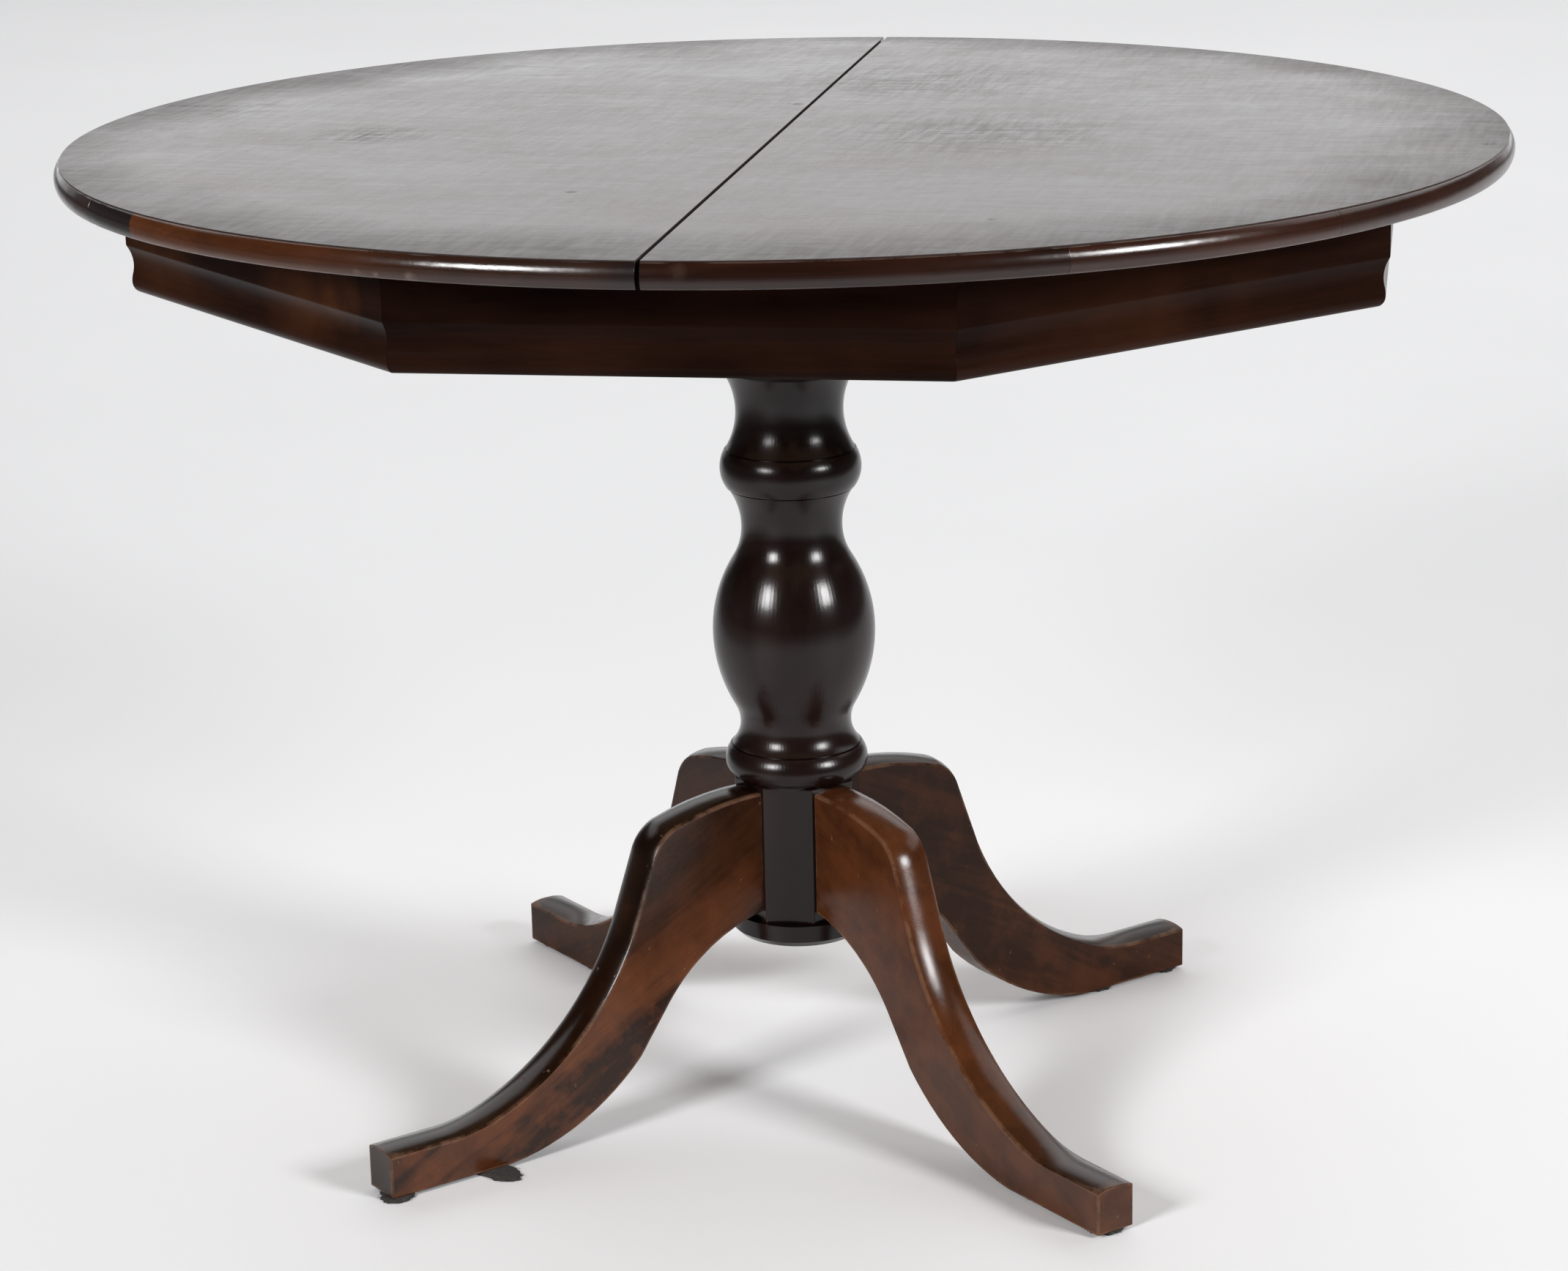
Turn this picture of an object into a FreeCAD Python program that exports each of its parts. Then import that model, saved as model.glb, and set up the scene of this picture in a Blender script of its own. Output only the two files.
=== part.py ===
"""Round extending dining table on a turned column, as a parametric document in millimetres.

The origin is on the floor under the column. +Z is up, the seam between the half tops runs along Y with
the front at -Y, and the half tops slide along X.
"""
import FreeCAD
import Part
import Sketcher
import math
import os
from types import SimpleNamespace
from FreeCAD import Placement, Rotation, Vector

# Driving dimensions in millimetres
SIZES = {
    # Half tops
    "table_height": 740,
    "top_diameter": 1050,
    "top_thickness": 18,
    "veneer_thickness": 0.8,
    "seam_gap": 3,
    "lipping_width": 22,
    "lipping_arris_inset": 4,
    "lipping_foot_inset": 3,
    "lipping_nose_drop": 9,
    "glue_line": 0.1,
    "top_clearance": 0.5,
    "seam_dowel_diameter": 8,
    "seam_dowel_length": 36,
    "seam_dowel_clearance": 0.3,
    # Apron
    "top_overhang": 83,
    "apron_height": 72,
    "apron_thickness": 20,
    "moulding_height": 34,
    "moulding_cove_height": 20,
    "moulding_cove_depth": 4.2,
    "moulding_bead_height": 7.5,
    "moulding_bead_depth": 2.5,
    "moulding_foot_depth": 7,
    "corner_block_side": 40,
    "corner_block_height": 28,
    # Bearers and top plate
    "bearer_spacing": 190,
    "bearer_width": 60,
    "bearer_height": 30,
    "bearer_housing": 6,
    "plate_width": 200,
    "plate_thickness": 22,
    # Slides
    "slide_travel": 220,
    "rail_spacing": 272,
    "rail_width": 24,
    "rail_clearance": 1.5,
    "tongue_height": 8,
    "tongue_depth": 8,
    "runner_width": 28,
    "runner_height": 38,
    "runner_lift": 2,
    "runner_gap": 0.5,
    "runner_relief": 1,
    "runner_end_gap": 10,
    "groove_clearance": 0.5,
    "peg_diameter": 14,
    "peg_drop": 20,
    "peg_seat": 10,
    "stop_clearance": 0.5,
    # Screws
    "screw_diameter": 4,
    "screw_head_diameter": 8,
    "screw_head_height": 2.6,
    "screw_tip_height": 5,
    "screw_clearance": 0.15,
    "plate_screw_length": 42,
    "rail_screw_length": 50,
    "runner_screw_length": 48,
    "disc_screw_length": 38,
    # Catches
    "catch_offset": 300,
    "catch_reach": 60,
    "hook_width": 16,
    "hook_thickness": 2.5,
    "hook_lift": 0.5,
    "hook_tab_height": 9,
    "hook_tab_thickness": 2,
    "shoulder_diameter": 6,
    "shoulder_seat": 11,
    "shoulder_head_diameter": 12,
    "shoulder_head_height": 2.5,
    "pivot_clearance": 0.1,
    "stud_clearance": 0.4,
    # Column
    "column_diameter": 123,
    "tenon_diameter": 44,
    "leg_block_diameter": 100,
    "leg_block_height": 108,
    "disc_diameter": 104,
    "disc_thickness": 17,
    "disc_chamfer": 4.5,
    "disc_floor_gap": 122,
    "disc_screw_circle": 52,
    # Legs
    "leg_seat": 45,
    "leg_spread": 378,
    "leg_width": 32,
    "leg_top_drop": 1,
    "leg_crown": 3.5,
    "leg_dowel_diameter": 10,
    "leg_dowel_length": 50,
    "pad_diameter": 25,
    "pad_thickness": 2.5,
    "toe_pad_inset": 15,
    # Length by which a cutter passes the face that it opens
    "overrun": 5,
}

# Heights on the column, as shares of the turned length above the leg block
COLUMN_HEIGHT_SHARES = {
    "bead_foot": 0.003,
    "low_bead": 0.031,
    "low_bead_top": 0.064,
    "low_step": 0.067,
    "low_neck": 0.111,
    "belly": 0.298,
    "waist": 0.510,
    "high_flare": 0.587,
    "high_step": 0.590,
    "high_bead": 0.628,
    "high_bead_top": 0.664,
    "high_lip": 0.667,
    "high_neck": 0.742,
    "collar_foot": 0.822,
    "collar": 0.826,
}

# Radii on the column, as shares of the belly's radius
COLUMN_RADIUS_SHARES = {
    "bead_foot": 0.756,
    "low_bead": 0.885,
    "low_bead_top": 0.813,
    "low_step": 0.793,
    "low_neck": 0.686,
    "belly": 1.0,
    "waist": 0.618,
    "high_flare": 0.764,
    "high_step": 0.789,
    "high_bead": 0.865,
    "high_bead_top": 0.805,
    "high_lip": 0.785,
    "high_neck": 0.657,
    "collar_foot": 0.805,
    "collar": 0.862,
}
LOW_BELLY_TURN_SHARE = 0.8
HIGH_BELLY_TURN_SHARE = 0.7
MOULDING_TURN_SHARE = 0.5

# Leg outline, as shares of the leg's reach and of its top height, with each arc's rise as a share of its chord
LEG_TOP_SHARES = (
    (0.242, 0.952, 0.041),
    (0.306, 0.854, 0.113),
    (0.363, 0.646, 0),
    (0.740, 0.175, -0.107),
    (0.859, 0.1545, -0.040),
    (1.0, 0.1545, 0),
)
LEG_CROWN_SHARES = ((-1, 1), (-0.72, 0.42), (-0.25, 0), (0.25, 0), (0.72, 0.42), (1, 1))
LEG_HEEL_SHARE = 0.691
LEG_ARCH_SHARES = (
    (0.345, 0.236, 0.088),
    (0.264, 0.386, 0),
    (0, 0.602, -0.097),
)
LEG_DOWEL_SHARES = (0.71, 0.87)
HEEL_PAD_SHARE = 0.745

# Places along a piece, as shares of the length that they follow
SEAM_DOWEL_SHARES = (-0.84, -0.42, 0.42, 0.84)
PLATE_SCREW_SHARES = (-0.38, 0, 0.38)
RUNNER_SCREW_SHARES = (0.12, 0.5, 0.88)
HOOK_TAB_SHARE = 0.6

# Angles in degrees and counts
SIDES = 8
DISC_SCREWS = 3
FULL_TURN = 360
HALF_TURN = 180
RIGHT_ANGLE = 90
FACE_ANGLE = FULL_TURN / SIDES
LEG_ANGLES = {"back_right": 45, "back_left": 135, "front_left": 225, "front_right": 315}
APRON_SIDES = ("right", "back_right", "back", "back_left", "left", "front_left", "front", "front_right")
LIPPING_JOINTS = {
    "left": (("front", 0, 53), ("middle", 53, 127), ("back", 127, 180)),
    "right": (("front", 0, 29), ("corner", 29, 52), ("middle", 52, 127), ("back", 127, 180)),
}
ENDS = {"front": -1, "back": 1}
HANDS = {"left": -1, "right": 1}
UP = Vector(0, 0, 1)


class Size:
    """A number of the sheet, or one worked out from such numbers, with the expression that gives it."""

    def __init__(self, value, text):
        self.value = value
        self.text = text

    def __add__(self, other):
        other = as_size(other)
        return Size(self.value + other.value, f"({self.text} + {other.text})")

    def __sub__(self, other):
        other = as_size(other)
        return Size(self.value - other.value, f"({self.text} - {other.text})")

    def __mul__(self, other):
        other = as_size(other)
        return Size(self.value * other.value, f"({self.text} * {other.text})")

    def __truediv__(self, other):
        other = as_size(other)
        return Size(self.value / other.value, f"({self.text} / {other.text})")

    def __neg__(self):
        return Size(-self.value, f"(0 - {self.text})")

    def __rsub__(self, other):
        return as_size(other) - self

    __radd__ = __add__
    __rmul__ = __mul__


def as_size(number):
    """Gives a plain number the same form as a size of the sheet."""
    if isinstance(number, Size):
        return number
    return Size(number, f"({number:.12f})")


def root(size):
    """Square root of a size."""
    return Size(math.sqrt(size.value), f"sqrt({size.text})")


def length_of(size):
    """A size without its sign."""
    return size if size.value >= 0 else -size


doc = FreeCAD.newDocument("RoundDiningTable")
sheet = doc.addObject("Spreadsheet::Sheet", "Dims")
dims = SimpleNamespace()
for row, (alias, number) in enumerate(SIZES.items(), start=1):
    sheet.set(f"A{row}", alias)
    sheet.set(f"B{row}", str(number))
    sheet.setAlias(f"B{row}", alias)
    setattr(dims, alias, Size(float(number), f"Dims.{alias}"))
doc.recompute()

# Levels, from the top down
veneer_level = dims.table_height - dims.veneer_thickness
under_top = dims.table_height - dims.top_thickness
apron_top = under_top - dims.top_clearance
apron_bottom = apron_top - dims.apron_height
runner_bottom = under_top - dims.runner_height
bearer_top = runner_bottom - dims.runner_lift
bearer_bottom = bearer_top - dims.bearer_height
plate_bottom = bearer_bottom - dims.plate_thickness
tongue_level = under_top - dims.runner_height / 2

# Levels, from the floor up
disc_top = dims.disc_floor_gap + dims.disc_thickness
block_top = disc_top + dims.leg_block_height
leg_top = block_top - dims.leg_top_drop

# Plan sizes shared by several pieces
nose_radius = dims.top_diameter / 2
lipping_inner = nose_radius - dims.lipping_width
panel_radius = lipping_inner - dims.glue_line
half_seam = dims.seam_gap / 2
apron_face = nose_radius - dims.top_overhang
apron_inner = apron_face - dims.apron_thickness
apron_side = apron_face * 2 * math.tan(math.radians(FACE_ANGLE / 2))
bearer_centre = dims.bearer_spacing / 2
bearer_outer = bearer_centre + dims.bearer_width / 2
rail_centre = dims.rail_spacing / 2
rail_outer = rail_centre + dims.rail_width / 2
rail_near = rail_centre - dims.rail_width / 2
runner_reach = apron_inner - dims.runner_end_gap
runner_heel = runner_reach - dims.slide_travel
peg_place = bearer_outer + dims.slide_travel + dims.stop_clearance + dims.peg_diameter / 2
belly_radius = dims.column_diameter / 2
leg_reach = dims.leg_spread - dims.leg_seat

pieces = []


def keep(label, item):
    """Names a finished sub-part and adds it to the list of pieces."""
    item.Label = label
    pieces.append(item)
    return item


def bind(item, **sizes):
    """Ties properties of an object to the sheet."""
    for name, size in sizes.items():
        item.setExpression(name, as_size(size).text)


def place(item, base, rotation):
    """Turns an object and ties its place to the sheet."""
    item.Placement = Placement(Vector(0, 0, 0), rotation)
    for axis, size in zip("xyz", base):
        item.setExpression(f"Placement.Base.{axis}", as_size(size).text)


def around(angle):
    """Rotation about the column's axis."""
    return Rotation(UP, angle)


def spot(angle, out, across, level):
    """Point at a distance out from the axis in a direction, and at a distance across it."""
    east = round(math.cos(math.radians(angle)), 12)
    north = round(math.sin(math.radians(angle)), 12)
    return (out * east - across * north, out * north + across * east, level)


def box(name, low, high):
    """Box between two corners."""
    item = doc.addObject("Part::Box", name)
    for side, start, end in zip(("Length", "Width", "Height"), low, high):
        bind(item, **{side: as_size(end) - start})
    place(item, low, around(0))
    return item


def block_at(name, angle, out, across, height, base):
    """Box that is turned to a direction, from a point at its near right lower corner."""
    item = doc.addObject("Part::Box", name)
    bind(item, Length=out, Width=across, Height=height)
    place(item, base, around(angle))
    return item


def rod(name, diameter, length, base, direction=UP):
    """Round bar from a point in a direction."""
    item = doc.addObject("Part::Cylinder", name)
    bind(item, Radius=diameter / 2, Height=length)
    place(item, base, Rotation(UP, direction))
    return item


def cone(name, foot_diameter, top_diameter, height, base):
    """Upright cone from a point."""
    item = doc.addObject("Part::Cone", name)
    bind(item, Radius1=foot_diameter / 2, Radius2=top_diameter / 2, Height=height)
    place(item, base, around(0))
    return item


def sector(name, radius, height, angle, start_angle, level):
    """Slice of a disc about the column's axis."""
    item = doc.addObject("Part::Cylinder", name)
    bind(item, Radius=radius, Height=height)
    item.Angle = angle
    place(item, (0, 0, level), around(start_angle))
    return item


def group(name, items):
    """Separate solids under one name."""
    item = doc.addObject("Part::Compound", name)
    item.Links = items
    return item


def cut(name, base, cutters):
    """A solid with other solids taken out of it."""
    item = doc.addObject("Part::Cut", name)
    item.Base = base
    item.Tool = group(f"{name}_cutters", cutters)
    return item


def fuse(name, items):
    """Solids joined into one."""
    item = doc.addObject("Part::MultiFuse", name)
    item.Shapes = items
    return item


def line_to(point):
    """Straight step of an outline."""
    return SimpleNamespace(point=point, radius=None, centre=None)


def upright_arc(start, end, upright_end):
    """Arc step whose direction is upright at its start or at its end."""
    across = end[0] - start[0]
    rise = end[1] - start[1]
    reach = (across * across + rise * rise) / (across * 2)
    if upright_end:
        centre = ((end[0] - reach).value, end[1].value)
    else:
        centre = ((start[0] + reach).value, start[1].value)
    return SimpleNamespace(point=end, radius=length_of(reach), centre=centre)


def ogee(start, end, turn_share):
    """Two arc steps that are upright at both ends and meet on the line between them."""
    middle = tuple(low + (high - low) * turn_share for low, high in zip(start, end))
    return [upright_arc(start, middle, False), upright_arc(middle, end, True)]


def bowed_to(start, end, rise_share):
    """Arc step that rises to its left by a share of its chord, or to its right where the share is negative."""
    if not rise_share:
        return line_to(end)
    across = end[0] - start[0]
    climb = end[1] - start[1]
    chord = root(across * across + climb * climb)
    radius = chord * ((0.25 + rise_share * rise_share) / (2 * abs(rise_share)))
    sink = (0.25 - rise_share * rise_share) / (2 * rise_share)
    centre = (
        (start[0].value + end[0].value) / 2 + climb.value * sink,
        (start[1].value + end[1].value) / 2 - across.value * sink,
    )
    return SimpleNamespace(point=end, radius=radius, centre=centre)


def bearing(centre, point):
    """Angle of a point as seen from a centre."""
    return math.atan2(point[1].value - centre[1], point[0].value - centre[0])


def add_step(sketch, start, step):
    """Adds one step to a sketch, and gives its number and the numbers of its near and far ends."""
    if step.radius is None:
        near = Vector(start[0].value, start[1].value, 0)
        far = Vector(step.point[0].value, step.point[1].value, 0)
        return sketch.addGeometry(Part.LineSegment(near, far), False), 1, 2
    circle = Part.Circle(Vector(*step.centre, 0), UP, step.radius.value)
    first = bearing(step.centre, start)
    last = bearing(step.centre, step.point)
    if math.sin(last - first) > 0:
        return sketch.addGeometry(Part.ArcOfCircle(circle, first, last), False), 1, 2
    return sketch.addGeometry(Part.ArcOfCircle(circle, last, first), False), 2, 1


def pin_end(sketch, number, end, point):
    """Ties one end of a step to its place on the sheet."""
    for kind, axis, size in (("DistanceX", -2, point[0]), ("DistanceY", -1, point[1])):
        if size.value == 0:
            sketch.addConstraint(Sketcher.Constraint("PointOnObject", number, end, axis))
            continue
        row = sketch.addConstraint(Sketcher.Constraint(kind, -1, 1, number, end, size.value))
        sketch.setExpression(f"Constraints[{row}]", size.text)


def origin_plane(body, role):
    """One of a body's own origin planes."""
    return next(item for item in body.Origin.OriginFeatures if item.Role == role)


def outline(body, name, role, start, steps):
    """Closed outline in a sketch on one of a body's origin planes."""
    sketch = body.newObject("Sketcher::SketchObject", name)
    sketch.AttachmentSupport = [(origin_plane(body, role), "")]
    sketch.MapMode = "FlatFace"
    corners = [start] + [step.point for step in steps[:-1]]
    rows = [add_step(sketch, corner, step) for corner, step in zip(corners, steps)]
    for (number, near, far), following in zip(rows, rows[1:] + rows[:1]):
        sketch.addConstraint(Sketcher.Constraint("Coincident", number, far, following[0], following[1]))
    for (number, near, far), step in zip(rows, steps):
        pin_end(sketch, number, far, step.point)
        if step.radius is not None:
            row = sketch.addConstraint(Sketcher.Constraint("Radius", number, step.radius.value))
            sketch.setExpression(f"Constraints[{row}]", step.radius.text)
    return sketch


def turned(name, start, steps, angle=FULL_TURN):
    """Body made by turning an outline about the Z axis, to both sides alike."""
    body = doc.addObject("PartDesign::Body", name)
    sketch = outline(body, f"{name}_outline", "XZ_Plane", start, steps)
    turning = body.newObject("PartDesign::Revolution", f"{name}_turning")
    turning.Profile = sketch
    turning.ReferenceAxis = (sketch, ["V_Axis"])
    turning.Midplane = True
    turning.Angle = angle
    body.Tip = turning
    return body


def padded(name, role, start, steps, length):
    """Body made by thickening an outline to both sides alike."""
    body = doc.addObject("PartDesign::Body", name)
    sketch = outline(body, f"{name}_outline", role, start, steps)
    pad = body.newObject("PartDesign::Pad", f"{name}_pad")
    pad.Profile = sketch
    pad.Midplane = True
    bind(pad, Length=length)
    body.Tip = pad
    return body


def screw(name, base, length):
    """Countersunk wood screw that points up, with its head's face at a point."""
    x, y, level = base
    neck = level + dims.screw_head_height
    point = level + length - dims.screw_tip_height
    head = cone(f"{name}_head", dims.screw_head_diameter, dims.screw_diameter, dims.screw_head_height, base)
    shank = rod(f"{name}_shank", dims.screw_diameter, point - neck, (x, y, neck))
    tip = cone(f"{name}_tip", dims.screw_diameter, as_size(0), dims.screw_tip_height, (x, y, point))
    return fuse(name, [head, shank, tip])


def screw_hole(name, base, length):
    """Cutters for a screw: its countersink and its hole."""
    room = dims.screw_clearance * 2
    mouth = cone(
        f"{name}_sink",
        dims.screw_head_diameter + room,
        dims.screw_diameter + room,
        dims.screw_head_height,
        base,
    )
    x, y, level = base
    hole = rod(f"{name}_hole", dims.screw_diameter + room, length + room, (x, y, level))
    return [mouth, hole]


def screws(name, spots, length):
    """Group of screws, and the cutters for their holes."""
    items = [screw(f"{name}_{number}", base, length) for number, base in enumerate(spots)]
    cutters = [screw_hole(f"{name}_{number}", base, length) for number, base in enumerate(spots)]
    keep(name, group(name, items))
    return [cutter for pair in cutters for cutter in pair]


# Half tops

def seam_slot():
    """Cutter for the gap between the half tops."""
    reach = nose_radius + dims.overrun
    low = (-half_seam, -reach, under_top - dims.overrun)
    high = (half_seam, reach, dims.table_height + dims.overrun)
    return box("seam_slot", low, high)


def lipping(hand, slot):
    """Solid edge of a half top, in segments under the veneer."""
    foot = (nose_radius - dims.lipping_foot_inset, under_top)
    nose = (nose_radius, veneer_level - dims.lipping_nose_drop)
    arris = (nose_radius - dims.lipping_arris_inset, veneer_level)
    start = (lipping_inner, under_top)
    steps = [
        line_to(foot),
        upright_arc(foot, nose, True),
        upright_arc(nose, arris, False),
        line_to((lipping_inner, veneer_level)),
        line_to(start),
    ]
    for name, first, last in LIPPING_JOINTS[hand]:
        label = f"{hand}_lipping_{name}"
        body = turned(f"{label}_strip", start, steps, last - first)
        body.Placement = Placement(Vector(0, 0, 0), around(HANDS[hand] * (first + last) / 2 - RIGHT_ANGLE))
        keep(label, cut(label, body, [slot]))


def half_top(hand, slot, cutters):
    """Core panel and veneer of a half top."""
    start_angle = -RIGHT_ANGLE if hand == "right" else RIGHT_ANGLE
    core_height = veneer_level - under_top
    core = sector(f"{hand}_core", panel_radius, core_height, HALF_TURN, start_angle, under_top)
    keep(f"{hand}_panel", cut(f"{hand}_panel", core, [slot] + cutters))
    leaf_radius = nose_radius - dims.lipping_arris_inset
    leaf = sector(f"{hand}_leaf", leaf_radius, dims.veneer_thickness, HALF_TURN, start_angle, veneer_level)
    keep(f"{hand}_veneer", cut(f"{hand}_veneer", leaf, [slot]))


def seam_dowels():
    """Dowels across the seam, glued into the left panel, and the cutters for their holes in each panel."""
    level = (under_top + veneer_level) / 2
    half = dims.seam_dowel_length / 2
    east = Vector(1, 0, 0)
    items = []
    holes = {"left": [], "right": []}
    room = {"left": dims.glue_line, "right": dims.seam_dowel_clearance}
    for number, share in enumerate(SEAM_DOWEL_SHARES):
        y = panel_radius * share
        items.append(
            rod(f"seam_dowel_{number}", dims.seam_dowel_diameter, dims.seam_dowel_length, (-half, y, level), east)
        )
        for hand, clearance in room.items():
            start = -half - clearance
            length = dims.seam_dowel_length + clearance * 2
            diameter = dims.seam_dowel_diameter + clearance * 2
            holes[hand].append(rod(f"{hand}_dowel_hole_{number}", diameter, length, (start, y, level), east))
    keep("seam_dowels", group("seam_dowels", items))
    return holes


# Slides

def side_box(name, sign, near, far, x_low, x_high, z_low, z_high):
    """Box on the front or the back side, between two distances from the middle."""
    y_low, y_high = (near, far) if sign > 0 else (-far, -near)
    return box(name, (x_low, y_low, z_low), (x_high, y_high, z_high))


def runner_band(hand):
    """Distances from the middle of a half top's runners: outside the rails on the left, inside on the right."""
    if hand == "left":
        near = rail_outer + dims.runner_gap
        return near, near + dims.runner_width
    far = rail_near - dims.runner_gap
    return far - dims.runner_width, far


def runner_groove(hand):
    """Distances from the middle of the groove in a runner."""
    depth = dims.tongue_depth - dims.runner_gap + dims.groove_clearance
    near, far = runner_band(hand)
    if hand == "left":
        return near - dims.overrun, near + depth
    return far - depth, far + dims.overrun


def hand_span(hand, inner, outer):
    """Ends along X of something that reaches inwards past the seam and outwards under its own half top."""
    if hand == "left":
        return -outer, inner
    return -inner, outer


def runners(hand):
    """Grooved runners of a half top with their screws and stop pegs. Gives the cutters for the panel."""
    sign = HANDS[hand]
    near, far = runner_band(hand)
    middle = (near + far) / 2
    x_low, x_high = hand_span(hand, runner_reach, runner_heel)
    relief_low, relief_high = hand_span(hand, runner_reach + dims.overrun, half_seam)
    groove_near, groove_far = runner_groove(hand)
    groove_half = dims.tongue_height / 2 + dims.groove_clearance
    seat_length = runner_heel - half_seam
    spots = {end: [] for end in ENDS}
    for end, side in ENDS.items():
        for share in RUNNER_SCREW_SHARES:
            x = (half_seam + seat_length * share) * sign
            spots[end].append((x, middle * side, runner_bottom))
    all_spots = spots["front"] + spots["back"]
    screw_cutters = screws(f"{hand}_runner_screws", all_spots, dims.runner_screw_length)
    pegs = []
    for end, side in ENDS.items():
        label = f"{hand}_runner_{end}"
        bar = side_box(f"{label}_bar", side, near, far, x_low, x_high, runner_bottom, under_top)
        groove = side_box(
            f"{label}_groove",
            side,
            groove_near,
            groove_far,
            x_low - dims.overrun,
            x_high + dims.overrun,
            tongue_level - groove_half,
            tongue_level + groove_half,
        )
        relief = side_box(
            f"{label}_relief",
            side,
            near - dims.overrun,
            far + dims.overrun,
            relief_low,
            relief_high,
            under_top - dims.runner_relief,
            under_top + dims.overrun,
        )
        peg_base = (peg_place * -sign, middle * side, runner_bottom - dims.peg_drop)
        peg_length = dims.peg_drop + dims.peg_seat
        room = dims.glue_line * 2
        pegs.append(rod(f"{label}_peg", dims.peg_diameter, peg_length, peg_base))
        socket = rod(f"{label}_socket", dims.peg_diameter + room, peg_length + dims.glue_line, peg_base)
        keep(label, cut(label, bar, [groove, relief, socket] + screw_cutters))
    keep(f"{hand}_stop_pegs", group(f"{hand}_stop_pegs", pegs))
    return screw_cutters


def rails_and_bearers():
    """Fixed slide rails on the cross bearers, with their screws. Gives the cutters for the apron's housings."""
    rail_top = under_top - dims.rail_clearance
    spots = []
    for x in (-bearer_centre, bearer_centre):
        for side in ENDS.values():
            spots.append((x, rail_centre * side, bearer_bottom))
    screw_cutters = screws("rail_screws", spots, dims.rail_screw_length)
    for end, side in ENDS.items():
        label = f"rail_{end}"
        bar = side_box(f"{label}_bar", side, rail_near, rail_outer, -apron_inner, apron_inner, bearer_top, rail_top)
        tongue = side_box(
            f"{label}_tongue",
            side,
            rail_near - dims.tongue_depth,
            rail_outer + dims.tongue_depth,
            -apron_inner,
            apron_inner,
            tongue_level - dims.tongue_height / 2,
            tongue_level + dims.tongue_height / 2,
        )
        keep(label, cut(label, fuse(f"{label}_section", [bar, tongue]), screw_cutters))
    plate_spots = []
    for x in (-bearer_centre, bearer_centre):
        for share in PLATE_SCREW_SHARES:
            plate_spots.append((x, dims.plate_width * share, plate_bottom))
    plate_cutters = screws("top_plate_screws", plate_spots, dims.plate_screw_length)
    bearer_end = apron_inner + dims.bearer_housing
    housings = []
    for hand, sign in HANDS.items():
        x_low, x_high = (-bearer_outer, bearer_outer - dims.bearer_spacing)
        if sign > 0:
            x_low, x_high = (-x_high, -x_low)
        low = (x_low, -bearer_end, bearer_bottom)
        high = (x_high, bearer_end, bearer_top)
        bar = box(f"bearer_{hand}_bar", low, high)
        keep(f"bearer_{hand}", cut(f"bearer_{hand}", bar, screw_cutters + plate_cutters))
        housings.append(box(f"bearer_{hand}_housing", low, high))
    tenon_room = dims.tenon_diameter + dims.glue_line * 2
    plate_low = (-bearer_outer, -dims.plate_width / 2, plate_bottom)
    plate_high = (bearer_outer, dims.plate_width / 2, bearer_bottom)
    slab = box("top_plate_slab", plate_low, plate_high)
    hole_length = dims.plate_thickness + dims.overrun * 2
    tenon_hole = rod("tenon_hole", tenon_room, hole_length, (0, 0, plate_bottom - dims.overrun))
    keep("top_plate", cut("top_plate", slab, [tenon_hole] + plate_cutters))
    return housings


# Catches

def shoulder_screw(name, x, y):
    """Shoulder screw that hangs from the panel, with its head under the hook."""
    shoulder_length = dims.hook_lift * 2 + dims.hook_thickness
    head_top = under_top - shoulder_length
    stem = rod(
        f"{name}_stem",
        dims.shoulder_diameter,
        shoulder_length + dims.shoulder_seat,
        (x, y, head_top),
    )
    head = rod(
        f"{name}_head",
        dims.shoulder_head_diameter,
        dims.shoulder_head_height,
        (x, y, head_top - dims.shoulder_head_height),
    )
    return fuse(name, [stem, head])


def shoulder_hole(name, x, y):
    """Cutter for a shoulder screw's seat in the panel."""
    room = dims.screw_clearance
    base = (x, y, under_top - dims.overrun)
    return rod(name, dims.shoulder_diameter + room * 2, dims.overrun + dims.shoulder_seat + room, base)


def catch_screws(hand, label):
    """Shoulder screws of both catches on one half top. Gives the cutters for the panel."""
    x = dims.catch_reach / 2 * HANDS[hand]
    items = []
    cutters = []
    for end, side in ENDS.items():
        y = dims.catch_offset * side
        items.append(shoulder_screw(f"{label}_{end}", x, y))
        cutters.append(shoulder_hole(f"{label}_{end}_seat", x, y))
    keep(label, group(label, items))
    return cutters


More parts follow.
